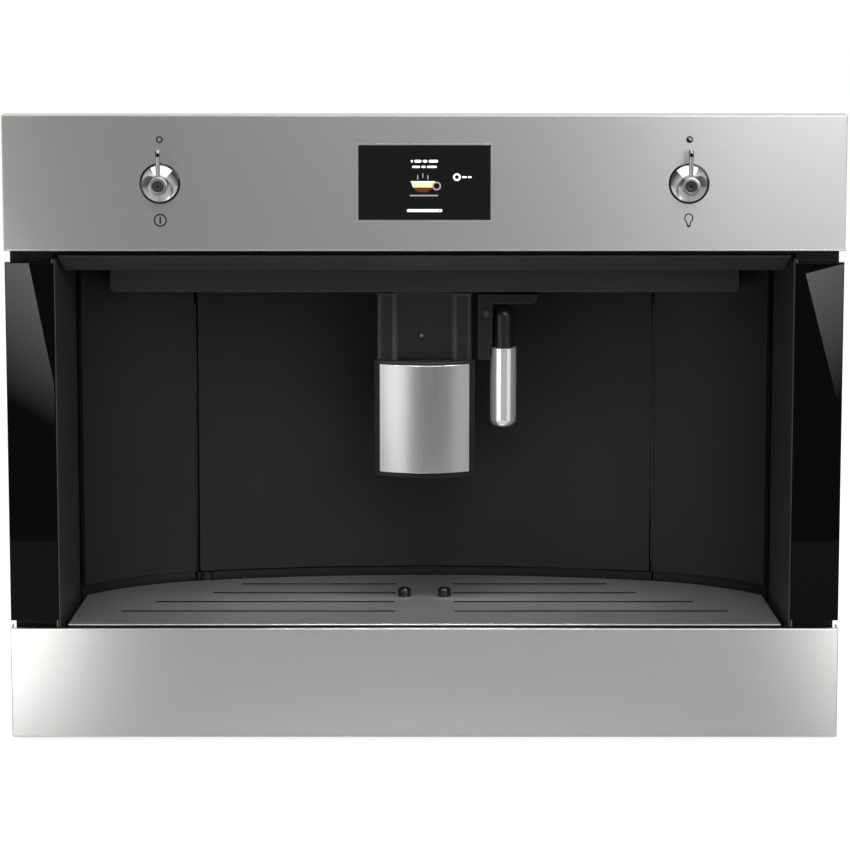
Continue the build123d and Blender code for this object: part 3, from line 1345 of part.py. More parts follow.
def grind_dial():
    """Fineness dial with a finger rib on top and its short shaft."""
    low = lid_low
    dial = post(DIAL_X, grinder_y, low, low + DIAL_HEIGHT - DIAL_RIB_HEIGHT, DIAL_R)
    rib = DIAL_R - DIAL_RIB_INSET
    dial += block(DIAL_X - rib, DIAL_X + rib, grinder_y - DIAL_RIB_HALF, grinder_y + DIAL_RIB_HALF,
                  low + 1, low + DIAL_HEIGHT)
    return dial + post(DIAL_X, grinder_y, case_top - DIAL_SHAFT, low + 1, DIAL_SHAFT_R)


# ================================================================ brewing
def brew_frame():
    """Brew group body: side cheeks, floor, chamber bridge and the head with its outlet."""
    plate = BREW_PLATE
    body = block(brew_left, brew_right, brew_front, brew_rear, bay_floor_top, bay_floor_top + plate)
    for x in (brew_left, brew_right - plate):
        body += block(x, x + plate, brew_front, brew_rear, bay_floor_top, brew_top)
    bridge = chamber_bottom + BRIDGE_RISE
    body += block(brew_left, brew_right, brew_y - BRIDGE_HALF, brew_y + BRIDGE_HALF,
                  bridge, bridge + BRIDGE_HEIGHT)
    body += post(BREW_X, brew_y, chamber_bottom, chamber_top, CHAMBER_R)
    body -= post(BREW_X, brew_y, chamber_bottom - 1, chamber_top + 1, CHAMBER_BORE)
    body += post(BREW_X, brew_y, chamber_top, chamber_top + BREW_HEAD, CHAMBER_R)
    body += bar_y(BREW_X, outlet_z, NICHE_DEPTH + DOOR_THICKNESS + DOOR_CATCH_GAP, brew_y, OUTLET_R)
    body += block(brew_left, brew_right, brew_y - HEAD_BAR_HALF, brew_y + HEAD_BAR_HALF,
                  chamber_top, chamber_top + BREW_HEAD)
    body -= bar_y(BREW_X, outlet_z, NICHE_DEPTH, brew_y - CHAMBER_BORE, OUTLET_BORE)
    return body


def brew_piston():
    """Piston that packs the ground coffee, with its rod."""
    low = chamber_bottom + PISTON_RISE
    head = post(BREW_X, brew_y, low, low + PISTON_HEIGHT, CHAMBER_BORE - SLIDING)
    return head + post(BREW_X, brew_y, bay_floor_top + BREW_PLATE + PISTON_ROD_GAP, low + 1, PISTON_ROD_R)


def grounds_bin():
    """Used-grounds container on the bay floor behind the door."""
    wall = BIN_WALL
    rear = bin_front + BIN_DEPTH
    top = bay_floor_top + BIN_HEIGHT
    tub = block(bin_left, bin_right, bin_front, rear, bay_floor_top, top)
    tub = fillet(tub.edges().filter_by(Axis.Z), BIN_CORNER)
    room = block(bin_left + wall, bin_right - wall, bin_front + wall, rear - wall,
                 bay_floor_top + wall, top + 1)
    return tub - fillet(room.edges().filter_by(Axis.Z), BIN_CORNER - wall)


def thermoblock():
    """Cast flow heater with cooling grooves, standing on four feet."""
    x0, x1 = block_x - BLOCK_WIDTH / 2, block_x + BLOCK_WIDTH / 2
    y0, y1 = block_y - BLOCK_DEPTH / 2, block_y + BLOCK_DEPTH / 2
    top = block_bottom + BLOCK_HEIGHT
    body = block(x0, x1, y0, y1, block_bottom, top)
    margin = BLOCK_GROOVE_MARGIN
    for step in range(int((BLOCK_DEPTH - BLOCK_GROOVE_START) / BLOCK_GROOVE_PITCH)):
        y = y0 + BLOCK_GROOVE_START + step * BLOCK_GROOVE_PITCH
        body -= block(x0 - CUT, x0 + BLOCK_GROOVE, y, y + BLOCK_GROOVE_WIDTH,
                      block_bottom + margin, top - margin)
    for x in (x0 + BLOCK_FOOT_INSET, x1 - BLOCK_FOOT_INSET):
        for y in (y0 + BLOCK_FOOT_INSET, y1 - BLOCK_FOOT_INSET):
            body += post(x, y, pan_top, block_bottom + CUT, BLOCK_FOOT_R)
    return body


def pump():
    """Vibration pump lying along y, with an inlet at its rear end and a side outlet."""
    rear = pump_front + PUMP_LENGTH
    body = bar_y(pump_x, pump_z, pump_front, rear, PUMP_R)
    body += bar_y(pump_x, pump_z, rear - 1, rear + FITTING, FITTING_R)
    body += bar_x(hose_y, pump_z, pump_x - PUMP_R - FITTING, pump_x, FITTING_R)
    return body


def hose(*points):
    """Silicone hose along straight runs with wide bends."""
    path = FilletPolyline(*points, radius=HOSE_BEND)
    start = Plane(origin=path @ 0, z_dir=path % 0)
    return sweep(start * Circle(HOSE_R), path=path)


def hoses():
    """Pump to heater, tank spigot to pump, and heater to brew head."""
    low_y, low_z = hose_y + HOSE_SIDESTEP, pump_z - HOSE_SAG
    pressure = hose((pump_side, hose_y, pump_z),
                    (pump_side - HOSE_STRAIGHT * pressure_run, hose_y, pump_z),
                    (pump_side - HOSE_SLOPE * pressure_run, low_y, low_z),
                    (block_inner + HOSE_SLOPE * pressure_run, low_y, low_z),
                    (block_inner + HOSE_STRAIGHT * pressure_run, hose_y, pump_z),
                    (block_inner, hose_y, pump_z))
    inlet_y = pump_front + PUMP_LENGTH + FITTING
    suction = hose((suction_x, dock_y, shelf_top - TANK_SHELF), (suction_x, dock_y, pump_z),
                   (pump_x, inlet_y + SUCTION_LOOP, pump_z), (pump_x, inlet_y, pump_z))
    behind = steam_y + HOSE_R + 1.0
    level_end = block_inner + HOT_LEVEL * hot_run
    rise_start = block_inner + HOT_RISE * hot_run
    rise_end = block_inner + HOT_HIGH * hot_run
    between = steam_z + HOT_STEP * (outlet_z - steam_z)
    hot = hose((block_inner, steam_y, steam_z), (level_end, steam_y, steam_z),
               (rise_start, behind, between), (rise_end, behind, outlet_z), (brew_left, behind, outlet_z))
    return pressure, suction, hot


def power_board():
    """Mains board on studs outside the left chassis wall."""
    x1 = -chassis_half - BOARD_POST
    x0 = x1 - BOARD_SHEET
    y0 = chassis_front + BOARD_BEHIND_FRONT
    y1 = y0 + BOARD_DEPTH
    top = board_bottom + BOARD_HEIGHT
    inset = BOARD_STUD_INSET
    board = block(x0, x1, y0, y1, board_bottom, top)
    for y in (y0 + inset, y1 - inset):
        for z in (board_bottom + inset, top - inset):
            board += bar_x(y, z, x0, -chassis_half, BOARD_STUD_R)
    low = board_bottom + BOARD_PART_GAP
    y = y0 + BOARD_PART_GAP
    for reach, length, height in (RELAY, FILTER):
        board += block(x0 - reach, x0, y, y + length, low, low + height)
        y += length + BOARD_PART_GAP
    for step in range(3):
        board += bar_x(y + CAPACITOR_R + step * CAPACITOR_PITCH, low + CAPACITOR_R + inset,
                       x0 - CAPACITOR_LENGTH, x0, CAPACITOR_R)
    return board


def mains_inlet():
    """Appliance socket and switch housing in the rear panel."""
    half, height = INLET_WIDTH / 2, INLET_HEIGHT / 2
    margin = INLET_FLANGE_MARGIN
    body = block(inlet_x - half - margin, inlet_x + half + margin, case_rear, machine_rear,
                 inlet_z - height - margin, inlet_z + height + margin)
    body += block(inlet_x - half, inlet_x + half, case_rear - INLET_DEPTH, case_rear,
                  inlet_z - height, inlet_z + height)
    pocket = block(socket_x - SOCKET_WIDTH / 2, socket_x + SOCKET_WIDTH / 2, machine_rear - SOCKET_DEPTH,
                   machine_rear + CUT, inlet_z - SOCKET_HEIGHT / 2, inlet_z + SOCKET_HEIGHT / 2)
    body -= fillet(pocket.edges().filter_by(Axis.Y), SOCKET_CORNER)
    for dx, dz in BLADES:
        body += block(socket_x + dx - BLADE_HALF_WIDTH, socket_x + dx + BLADE_HALF_WIDTH,
                      machine_rear - SOCKET_DEPTH - CUT, machine_rear - BLADE_SET_BACK,
                      inlet_z + dz - BLADE_HALF_HEIGHT, inlet_z + dz + BLADE_HALF_HEIGHT)
    half = ROCKER_WIDTH / 2
    gap = ROCKER_HEIGHT / 2 + 2 * FREE
    body -= block(rocker_x - half - FREE, rocker_x + half + FREE,
                  machine_rear - ROCKER_DEPTH - BLADE_SET_BACK, machine_rear + CUT,
                  inlet_z - gap, inlet_z + gap)
    pivot = half + ROCKER_PIVOT_LENGTH + FREE
    body -= bar_x(rocker_y, inlet_z, rocker_x - pivot, rocker_x + pivot, ROCKER_PIVOT_R + RUNNING)
    return body


def rocker_switch():
    """Mains rocker on two short pivots."""
    tall = ROCKER_HEIGHT / 2
    deep = ROCKER_DEPTH / 2
    outline = Polyline((0, ROCKER_END, -tall), (0, ROCKER_MIDDLE, 0), (0, ROCKER_END, tall),
                       (0, -CUT, tall), (0, -deep, tall / 3), (0, -deep, -tall / 3), (0, -CUT, -tall),
                       close=True)
    half = ROCKER_WIDTH / 2
    rocker = Pos(-half, 0, 0) * extrude(make_face(outline.edges()), amount=ROCKER_WIDTH, dir=(1, 0, 0))
    rocker += bar_x(0, 0, -half - ROCKER_PIVOT_LENGTH, half + ROCKER_PIVOT_LENGTH, ROCKER_PIVOT_R)
    return Pos(rocker_x, rocker_y, inlet_z) * Rot(ROCKER_TILT, 0, 0) * rocker


# ================================================================ write the pieces
def build():
    os.makedirs("parts", exist_ok=True)

    outer, middle, inner = slide_members()
    export_piece("shelf_plate", shelf_plate())
    export_piece("slides_outer", *pair(Pos(slide_x, 0, 0) * outer))
    export_piece("slides_middle", *pair(Pos(slide_x, 0, 0) * middle))
    export_piece("slides_inner", *pair(Pos(slide_x, 0, 0) * inner))

    export_piece("base_pan", base_pan())
    export_piece("left_side_panel", side_panel())
    export_piece("right_side_panel", tank_side_panel())
    export_piece("rear_panel", rear_panel())
    export_piece("top_cover", top_cover())
    export_piece("case_screws", *case_screws())

    export_piece("front_frame", front_frame())
    export_piece("top_panel", top_panel())
    export_piece("bottom_panel", bottom_panel())
    export_piece("glass_panels", *pair(glass_panel()))

    export_piece("niche_walls", *pair(niche_wall()))
    export_piece("niche_floor", niche_floor())
    export_piece("back_panels", *pair(back_panel()))
    export_piece("visor", visor())
    export_piece("niche_lamps", *pair(lamp()))
    export_piece("niche_header", niche_header())

    export_piece("service_door", service_door())
    export_piece("door_pins", *door_pins())
    export_piece("door_magnet", door_magnet())
    export_piece("spout_guide", spout_guide())
    export_piece("spout_slider", spout_slider())
    export_piece("spout_face", spout_face())
    export_piece("wand_bracket", wand_bracket())
    export_piece("wand_sleeve", wand_sleeve())
    export_piece("wand_tube", wand_tube())

    export_piece("cup_grid", cup_grid())
    export_piece("drip_tray", drip_tray())
    export_piece("grid_studs", *grid_studs())
    export_piece("drawer_carrier", drawer_carrier())

    export_piece("display_glass", display_glass())
    export_piece("control_board", control_board())
    export_piece("knob_rosettes", *pair(knob_rosette()))
    export_piece("right_knob", selector_knob())
    export_piece("left_knob", mirrored(selector_knob()))
    export_piece("right_knob_plunger", knob_plunger())
    export_piece("left_knob_plunger", mirrored(knob_plunger()))
    export_piece("knob_encoders", *pair(encoder()))

    export_piece("inner_chassis", inner_chassis())
    export_piece("tank_shelf", tank_shelf())
    export_piece("water_tank", water_tank())
    export_piece("tank_lid", tank_lid())
    export_piece("grinder_housing", grinder_housing())
    export_piece("grinder_burr", grinder_burr())
    export_piece("grinder_motor", grinder_motor())
    export_piece("bean_hopper", bean_hopper())
    export_piece("hopper_lid", hopper_lid())
    export_piece("grind_dial", grind_dial())
    export_piece("brew_frame", brew_frame())
    export_piece("brew_piston", brew_piston())
    export_piece("grounds_bin", grounds_bin())
    export_piece("thermoblock", thermoblock())
    export_piece("pump", pump())
    export_piece("hoses", *hoses())
    export_piece("power_board", power_board())
    export_piece("mains_inlet", mains_inlet())
    export_piece("rocker_switch", rocker_switch())


build()
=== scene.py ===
"""Finish, fine pieces, light and camera for the built-in coffee machine."""
import math

import bmesh
import bpy
from mathutils import Matrix, Quaternion, Vector


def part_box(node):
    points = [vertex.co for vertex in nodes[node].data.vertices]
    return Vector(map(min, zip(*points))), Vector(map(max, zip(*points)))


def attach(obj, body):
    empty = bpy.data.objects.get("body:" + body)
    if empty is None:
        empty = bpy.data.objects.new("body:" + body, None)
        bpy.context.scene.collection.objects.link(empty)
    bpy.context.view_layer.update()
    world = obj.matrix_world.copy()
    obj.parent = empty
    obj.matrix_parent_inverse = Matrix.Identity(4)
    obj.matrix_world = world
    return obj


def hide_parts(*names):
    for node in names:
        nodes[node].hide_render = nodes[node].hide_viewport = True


# Metres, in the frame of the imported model: x to the viewer's right, y into the cabinet, z up.

# ---------------------------------------------------------------- camera
CAMERA_DISTANCE = 2.4          # in front of the steel front
CAMERA_HEIGHT = 0.68
CAMERA_PITCH = math.radians(8.41)
CAMERA_LENS = 144.63
CAMERA_SENSOR = 36.0
CAMERA_SHIFT = (0.0006, -0.15)

# ---------------------------------------------------------------- selectors
ROSETTE_RADIUS = 0.0145
ROSETTE_LIP = 0.0016
ROSETTE_LIP_DEPTH = 0.0007
ROSETTE_EDGE = 0.0002
ROSETTE_NECK_RADIUS = 0.0064
ROSETTE_NECK_FLARE = 0.0006
ROSETTE_NECK_START = 0.0060
ROSETTE_NECK_RUN = 0.0009      # height of the flare between cone and neck
ROSETTE_HEIGHT = 0.0108
ROSETTE_BORE = 0.0049
# dark ring of painted shade round the foot of each selector's cone
SHADE_RING_EDGE_HEIGHT = 0.0003
SHADE_RING_GAP = 0.00005
HUB_RADIUS = 0.0068
HUB_LENGTH = 0.0065
HUB_EDGE = 0.0008
HUB_ROUNDING = ((1.0, 0.0), (0.45, 0.12), (0.12, 0.45), (0.0, 1.0))  # inwards and back, in edges
HUB_BACK_EDGE = 0.0003
HUB_BORE = 0.0031
HUB_BORE_DEPTH = 0.004
HUB_RECESS = 0.0012            # room behind the sunken cap
HUB_RECESS_EDGE = 0.0002
CAP_RADIUS = 0.0042
CAP_SINK = 0.0006
CAP_BACK = 0.0010
CAP_EDGE = 0.0001
DIMPLE_RADIUS = 0.0010
DIMPLE_DEPTH = 0.0007
CAP_DOT_THICKNESS = 0.0002
LEVER_REACH = 0.0260           # from the selector's axis to the lever's tip
LEVER_ROOT_DEPTH = 0.0015      # how far the lever's root sits in the hub
LEVER_ROOT_RADIUS = 0.00150
LEVER_NECK_RADIUS = 0.00165
LEVER_TIP_RADIUS = 0.00195
LEVER_TIP_LENGTH = 0.009
LEVER_DOME_ANGLES = range(0, 90, 15)
LEVER_SET_BACK = 0.0028        # lever's axis behind the hub's front
POINTER_BELOW_TIP = 0.0038
POINTER_RADIUS = 0.0014
POINTER_THICKNESS = 0.0003
POINTER_SINK = 0.0002

# ---------------------------------------------------------------- printed symbols
PRINT_THICKNESS = 0.00004
PRINT_SINK = PRINT_THICKNESS * 0.2
SYMBOL_LINE = 0.00105
SYMBOL_ABOVE = 0.0312          # above the selector's axis
SYMBOL_BELOW = 0.0262
SMALL_RING_RADIUS = 0.00245
SMALL_RING_FILL = SMALL_RING_RADIUS - SYMBOL_LINE * 0.4
POWER_RING_RADIUS = 0.0047
POWER_BAR_WIDTH = SYMBOL_LINE * 1.25
POWER_BAR_HEIGHT = POWER_RING_RADIUS * 1.1
LAMP_WIDTH = 0.0056
LAMP_HEIGHT = 0.0090
LAMP_OUTLINE = ((-0.35, -1.0), (-0.4, -0.35), (-1.0, 0.05), (-1.0, 0.75), (0.0, 1.12), (1.0, 0.75),
                (1.0, 0.05), (0.4, -0.35), (0.35, -1.0))  # in half widths and half heights
LAMP_BASE_WIDTH = LAMP_WIDTH * 0.26
LAMP_BASE_HEIGHT = LAMP_HEIGHT * 0.2
LAMP_BASE_CORNER = 0.0003
LAMP_BASE_DROP = LAMP_HEIGHT * 0.46

# ---------------------------------------------------------------- screen picture, from the screen's middle
HEADING_DASHES = (0.0014, 0.0050, 0.0032, 0.0066)
HEADING_HEIGHT = 0.0019
HEADING_PLACE = (0.0, 0.0152)
SUBHEADING_DASHES = (0.0056, 0.0028, 0.0070)
SUBHEADING_HEIGHT = 0.0015
SUBHEADING_PLACE = (0.0, 0.0112)
DASH_GAP = 0.0010
SCREEN_RING = (0.0027, 0.0014)
SCREEN_RING_PLACE = (0.0229, 0.0039)
LABEL_DASHES = (0.0034, 0.0026)
LABEL_HEIGHT = 0.0013
LABEL_GAP = 0.0008
LABEL_PLACE = (0.0299, 0.0039)
BAR_SIZE = (0.0250, 0.0020)
BAR_CORNER = 0.0009
BAR_PLACE = (0.0, -0.0199)
BAR_KNOB_RADIUS = 0.0006
BAR_KNOB_PLACE = (0.0108, -0.0199)
CUP_RADIUS = 0.0080
CUP_PLACE = (-0.0012, 0.0008)
CREAM_SPAN = (-0.0042, -0.0008)
COFFEE_SPAN = (-0.0076, -0.0043)
CUP_RIM_SIZE = (0.0172, 0.0008)
CUP_RIM_CORNER = 0.00035
CUP_RIM_PLACE = (-0.0012, 0.0006)
CUP_HANDLE = (0.0031, 0.0021)
CUP_HANDLE_PLACE = (0.0086, -0.0024)
SAUCER_SIZE = (0.0200, 0.0010)
SAUCER_CORNER = 0.0005
SAUCER_PLACE = (-0.0004, -0.0092)
STEAM_SIZE = (0.0007, 0.0034)
STEAM_CORNER = 0.0003
STEAM_PLACES = ((-0.0036, 0.0), (0.0, 0.0012), (0.0036, 0.0))
STEAM_PLACE = (-0.0012, 0.0038)

# ---------------------------------------------------------------- niche trim, and panel edges with painted highlight
TRIM_WIDTH = 0.0008
TRIM_PROUD = 0.00005
TRIM_ABOVE_PANEL = 0.0005
WINDOW_EDGE = 0.0011
HEM_HEIGHT = 0.0010
HEM_RAISE = 0.0004             # above the panel's lower edge
EDGE_PROUD = 0.00004

# ---------------------------------------------------------------- spout guide's screw and wand bracket's key
GUIDE_RECESS = 0.006           # depth of the spout guide's middle
SCREW_X = -0.0022
SCREW_Z = 0.2833
COLLAR_OUTLINE = ((0.0015, 0.0), (0.0029, 0.0), (0.0029, -0.0003), (0.0026, -0.0006), (0.0018, -0.0006),
                  (0.0015, -0.0003))  # radius, and distance from the recess's floor
HEAD_OUTLINE = ((0.0, 0.0), (0.0014, 0.0), (0.0014, -0.0004), (0.0010, -0.0007), (0.0, -0.0008))
KEY_X = 0.0455
KEY_Z = 0.3000
KEY_SIZE = (0.0036, 0.0042)
KEY_PROUD = 0.0004
KEY_CORNER = 0.0005

# ---------------------------------------------------------------- shading
MOULD_GRAIN = 3200.0           # per metre, as the other scales of noise
SPANGLE = 140.0
BRUSHED_ACROSS = (12.0, 4000.0, 4000.0)
BRUSHED_UPRIGHT = (4000.0, 4000.0, 12.0)
GROUND_ALONG = (300.0, 300.0, 1500.0)
# painted shade for the tray's slot walls and its front wall below the rim
SLOT_PAINTED_SHADE = (0.012, 0.012, 0.012, 1.0)
SLOT_START = (0.003, 0.005)    # behind the grid's front edge, where the painted shade on the slots' walls begins
RIM_BELOW_TOP = (0.0006, 0.0003)  # of the grid's front wall, where the painted shade below the rim turns to the bright rim

# ---------------------------------------------------------------- studio
FLOOR_HALF = 1.6
FLOOR_MIDDLE = (0.0, 0.75, -0.0002)
FLOOR_GREY = 0.58
FLOOR_WHITE = 0.84             # what the camera sees added to the floor's own light
FADE_BEHIND = 0.15             # either side of the machine's middle, where mirrors turn to white
ROOM_FILL = 0.36
ROOM_AHEAD = 0.26              # what mirrors show of the room straight ahead, and at its sides
ROOM_SIDES = 0.03
ROOM_TURN = (-0.9, -0.35)
SOFTBOXES = (                  # name, place, target, width and height, brightness, roll, spread in degrees
    ("overhead_softbox", (0.0, -0.55, 1.75), (0.0, -0.549, 0.0), (2.4, 0.9), 1.2, 0.0, 180.0),
    ("key_softbox", (0.25, -1.75, 1.45), (0.0, -0.15, 0.22), (1.1, 0.8), 4.4, 0.0, 180.0),
    ("right_softbox", (0.76, -1.50, 0.78), (0.0, -0.18, 0.40), (1.1, 0.7), 3.4, 0.0, 180.0),
    ("left_softbox", (-0.86, -1.15, 0.14), (0.0, -0.10, 0.15), (0.9, 0.5), 1.5, 0.0, 180.0),
    ("low_right_softbox", (1.25, -1.10, 0.05), (0.0, -0.10, 0.15), (0.9, 0.7), 0.6, 0.0, 180.0),
    ("left_floor_softbox", (-0.62, -0.75, 0.75), (-0.42, -0.42, 0.0), (0.5, 0.35), 1.7, 0.0, 80.0),
    ("left_strip_softbox", (-0.4305, -1.18, 0.115), (-0.4305, 0.0, 0.115), (0.10, 0.21), 1.25, 10.7, 24.5),
    ("right_strip_softbox", (0.468, -1.18, 0.115), (0.468, 0.0, 0.115), (0.12, 0.21), 1.15, 14.75, 24.5),
)
GLOW_SIZE = (0.26, 0.010)
GLOW_BRIGHTNESS = 24.0
GLOW_SPREAD = 90.0
GLOW_BELOW_LAMPS = 0.001
GLOW_TILT = 0.02               # how far back on the floor it aims


scene = bpy.context.scene
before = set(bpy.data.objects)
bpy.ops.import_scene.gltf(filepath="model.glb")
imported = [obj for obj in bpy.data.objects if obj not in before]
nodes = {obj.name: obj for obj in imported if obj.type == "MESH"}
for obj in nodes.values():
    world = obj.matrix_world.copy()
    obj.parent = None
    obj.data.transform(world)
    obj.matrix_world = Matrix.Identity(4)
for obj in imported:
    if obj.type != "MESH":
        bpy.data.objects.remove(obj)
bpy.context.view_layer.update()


# ================================================================ node helpers
def add_node(tree, kind, inputs=None, **settings):
    """New shader node with its settings and its unlinked input values."""
    node = tree.nodes.new(kind)
    for name, value in settings.items():
        setattr(node, name, value)
    for name, value in (inputs or {}).items():
        node.inputs[name].default_value = value
    return node


def surface_coords(tree, stretch=(1.0, 1.0, 1.0)):
    """Object coordinates, stretched along each axis."""
    coords = add_node(tree, "ShaderNodeTexCoord")
    mapping = add_node(tree, "ShaderNodeMapping", {"Scale": stretch})
    tree.links.new(coords.outputs["Object"], mapping.inputs["Vector"])
    return mapping.outputs["Vector"]


def axes_of(tree, vector):
    node = add_node(tree, "ShaderNodeSeparateXYZ")
    tree.links.new(vector, node.inputs["Vector"])
    return node.outputs


def noise(tree, vector, scale, detail=3.0, roughness=0.55):
    node = add_node(tree, "ShaderNodeTexNoise", {"Scale": scale, "Detail": detail, "Roughness": roughness})
    tree.links.new(vector, node.inputs["Vector"])
    return node.outputs["Fac"]


def remap(tree, value, low, high, out_low, out_high):
    node = add_node(tree, "ShaderNodeMapRange",
                    {"From Min": low, "From Max": high, "To Min": out_low, "To Max": out_high})
    tree.links.new(value, node.inputs["Value"])
    return node.outputs["Result"]


def varied(tree, grain, out_low, out_high):
    """Value that follows a noise, over the middle part where most of the noise lies."""
    return remap(tree, grain, 0.3, 0.7, out_low, out_high)


def maths(tree, operation, *values):
    node = add_node(tree, "ShaderNodeMath", operation=operation)
    for socket, value in zip(node.inputs, values):
        if isinstance(value, (int, float)):
            socket.default_value = value
        else:
            tree.links.new(value, socket)
    return node.outputs["Value"]


def blend_colours(tree, factor, first, second):
    node = add_node(tree, "ShaderNodeMix", data_type="RGBA")
    tree.links.new(factor, node.inputs["Factor"])
    for socket, value in ((node.inputs["A"], first), (node.inputs["B"], second)):
        if isinstance(value, tuple):
            socket.default_value = value
        else:
            tree.links.new(value, socket)
    return node.outputs["Result"]


def tone(colour, factor):
    """The colour made lighter or darker."""
    return tuple(min(1.0, channel * factor) for channel in colour[:3]) + (1.0,)


def rounded_normal(tree, radius):
    return add_node(tree, "ShaderNodeBevel", {"Radius": radius}, samples=4).outputs["Normal"]


def relief(tree, height, strength, distance, normal):
    node = add_node(tree, "ShaderNodeBump", {"Strength": strength, "Distance": distance})
    tree.links.new(height, node.inputs["Height"])
    tree.links.new(normal, node.inputs["Normal"])
    return node.outputs["Normal"]


def edge_mask(tree, normal):
    """1 along the piece's edges, 0 on its faces."""
    geometry = add_node(tree, "ShaderNodeNewGeometry")
    dot = add_node(tree, "ShaderNodeVectorMath", operation="DOT_PRODUCT")
    tree.links.new(geometry.outputs["Normal"], dot.inputs[0])
    tree.links.new(normal, dot.inputs[1])
    return remap(tree, dot.outputs["Value"], 0.99, 0.80, 0.0, 1.0)


def new_finish(name, **values):
    """Material with one Principled shader, its constant values set on the shader's sockets."""
    material = bpy.data.materials.new(name)
    material.use_nodes = True
    shader = material.node_tree.nodes["Principled BSDF"]
    for socket, value in values.items():
        shader.inputs[socket.replace("_", " ")].default_value = value
    return material, material.node_tree, shader


def wire(tree, shader, **links):
    for socket, output in links.items():
        tree.links.new(output, shader.inputs[socket.replace("_", " ")])


# ================================================================ finishes
def brushed_metal(name, colour, roughness, stretch, streak=0.05, lay=0.25, edge=0.0004, edge_highlight_gain=1.5):
    """Metal brushed one way: long fine streaks in colour, roughness and relief; painted highlight along its
    edges.
    """
    material, tree, shader = new_finish(name, Metallic=1.0, Anisotropic=0.75, Anisotropic_Rotation=lay)
    fine = noise(tree, surface_coords(tree, stretch), 1.0, 4.0, 0.65)
    broad = noise(tree, surface_coords(tree, tuple(v * 0.12 for v in stretch)), 1.0, 2.0)
    streaks = maths(tree, "MULTIPLY_ADD", fine, 0.8, maths(tree, "MULTIPLY", broad, 0.2))
    rounded = rounded_normal(tree, edge)
    face = blend_colours(tree, streaks, tone(colour, 1 - streak), tone(colour, 1 + streak))
    # painted highlight: the base colour is brightened along the edges, where rounded edges would catch light
    wire(tree, shader,
         Base_Color=blend_colours(tree, edge_mask(tree, rounded), face, tone(colour, edge_highlight_gain)),
         Roughness=varied(tree, fine, roughness - 0.02, roughness + 0.03),
         Normal=relief(tree, fine, 0.12, 0.00001, rounded))
    return material


def satin_tray_steel(name, colour, roughness):
    """Fine-blasted sheet, with painted shade on the cut walls of its slots and on its front wall below the
    rim.
    """
    material, tree, shader = new_finish(name, Metallic=0.8, Anisotropic=0.4)
    tray_low, tray_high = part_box("cup_grid")
    grain = noise(tree, surface_coords(tree, (10.0, 2600.0, 2600.0)), 1.0, 4.0, 0.6)
    clouds = noise(tree, surface_coords(tree), 11.0, 3.0)
    face = blend_colours(tree, maths(tree, "MULTIPLY", grain, clouds), tone(colour, 0.90), tone(colour, 1.16))
    geometry = add_node(tree, "ShaderNodeNewGeometry")
    upwards = maths(tree, "ABSOLUTE", axes_of(tree, geometry.outputs["True Normal"])["Z"])
    wall = remap(tree, upwards, 0.2, 0.6, 1.0, 0.0)
    place = axes_of(tree, surface_coords(tree))
    inside = remap(tree, place["Y"], tray_low.y + SLOT_START[0], tray_low.y + SLOT_START[1], 0.0, 1.0)
    lip = remap(tree, place["Z"], tray_high.z - RIM_BELOW_TOP[0], tray_high.z - RIM_BELOW_TOP[1], 1.0, 0.0)
    # painted shade: near-black on upright faces inside the slots and on the front wall below the rim
    dark = maths(tree, "MULTIPLY", wall, maths(tree, "MAXIMUM", inside, lip))
    wire(tree, shader,
         Base_Color=blend_colours(tree, dark, face, SLOT_PAINTED_SHADE),
         Roughness=varied(tree, clouds, roughness - 0.03, roughness + 0.04),
         Normal=relief(tree, grain, 0.10, 0.00001, rounded_normal(tree, 0.0005)))
    return material


def polished_metal(name, colour, roughness, metallic=1.0):
    """Bright metal with faint waviness and fine handling marks."""
    material, tree, shader = new_finish(name, Metallic=metallic)
    waves = noise(tree, surface_coords(tree), 90.0, 2.0)
    marks = noise(tree, surface_coords(tree, (1.0, 1.0, 0.15)), 1800.0, 4.0)
    wire(tree, shader,
         Base_Color=blend_colours(tree, marks, tone(colour, 0.97), tone(colour, 1.03)),
         Roughness=varied(tree, marks, roughness, roughness + 0.05),
         Normal=relief(tree, waves, 0.08, 0.0001, rounded_normal(tree, 0.0002)))
    return material


def moulded_plastic(name, colour, roughness, specular, grain, painted_edge_highlight, edge=0.0004):
    """Moulded plastic: fine grain, cloudy sheen, and a painted highlight that lightens its edges."""
    material, tree, shader = new_finish(name, Specular_IOR_Level=specular)
    grains = noise(tree, surface_coords(tree), MOULD_GRAIN, 2.0)
    clouds = noise(tree, surface_coords(tree), 14.0, 3.0)
    rounded = rounded_normal(tree, edge)
    body = blend_colours(tree, clouds, tone(colour, 0.88), tone(colour, 1.12))
    # painted highlight: the base colour is lightened along the edges
    wire(tree, shader,
         Base_Color=blend_colours(tree, edge_mask(tree, rounded), body, tone(colour, painted_edge_highlight)),
         Roughness=varied(tree, clouds, roughness - 0.04, roughness + 0.05),
         Normal=relief(tree, grains, grain, 0.00004, rounded))
    return material


def glossy_black(name, colour, roughness, specular, haze=0.05):
    """Back-painted glass or gloss plastic: deep black with a hint of dust and wipe marks, and a painted
    highlight along its edges.
    """
    material, tree, shader = new_finish(name, Specular_IOR_Level=specular)
    wipes = noise(tree, surface_coords(tree, (1.0, 1.0, 0.3)), 40.0, 4.0)
    waves = noise(tree, surface_coords(tree), 12.0, 1.0)
    rounded = rounded_normal(tree, 0.0004)
    # painted highlight: the base colour is four times lighter along the edges
    wire(tree, shader,
         Base_Color=blend_colours(tree, edge_mask(tree, rounded), tone(colour, 1.0), tone(colour, 4.0)),
         Roughness=remap(tree, wipes, 0.35, 0.7, roughness, roughness + haze),
         Normal=relief(tree, waves, 0.04, 0.0002, rounded))
    return material


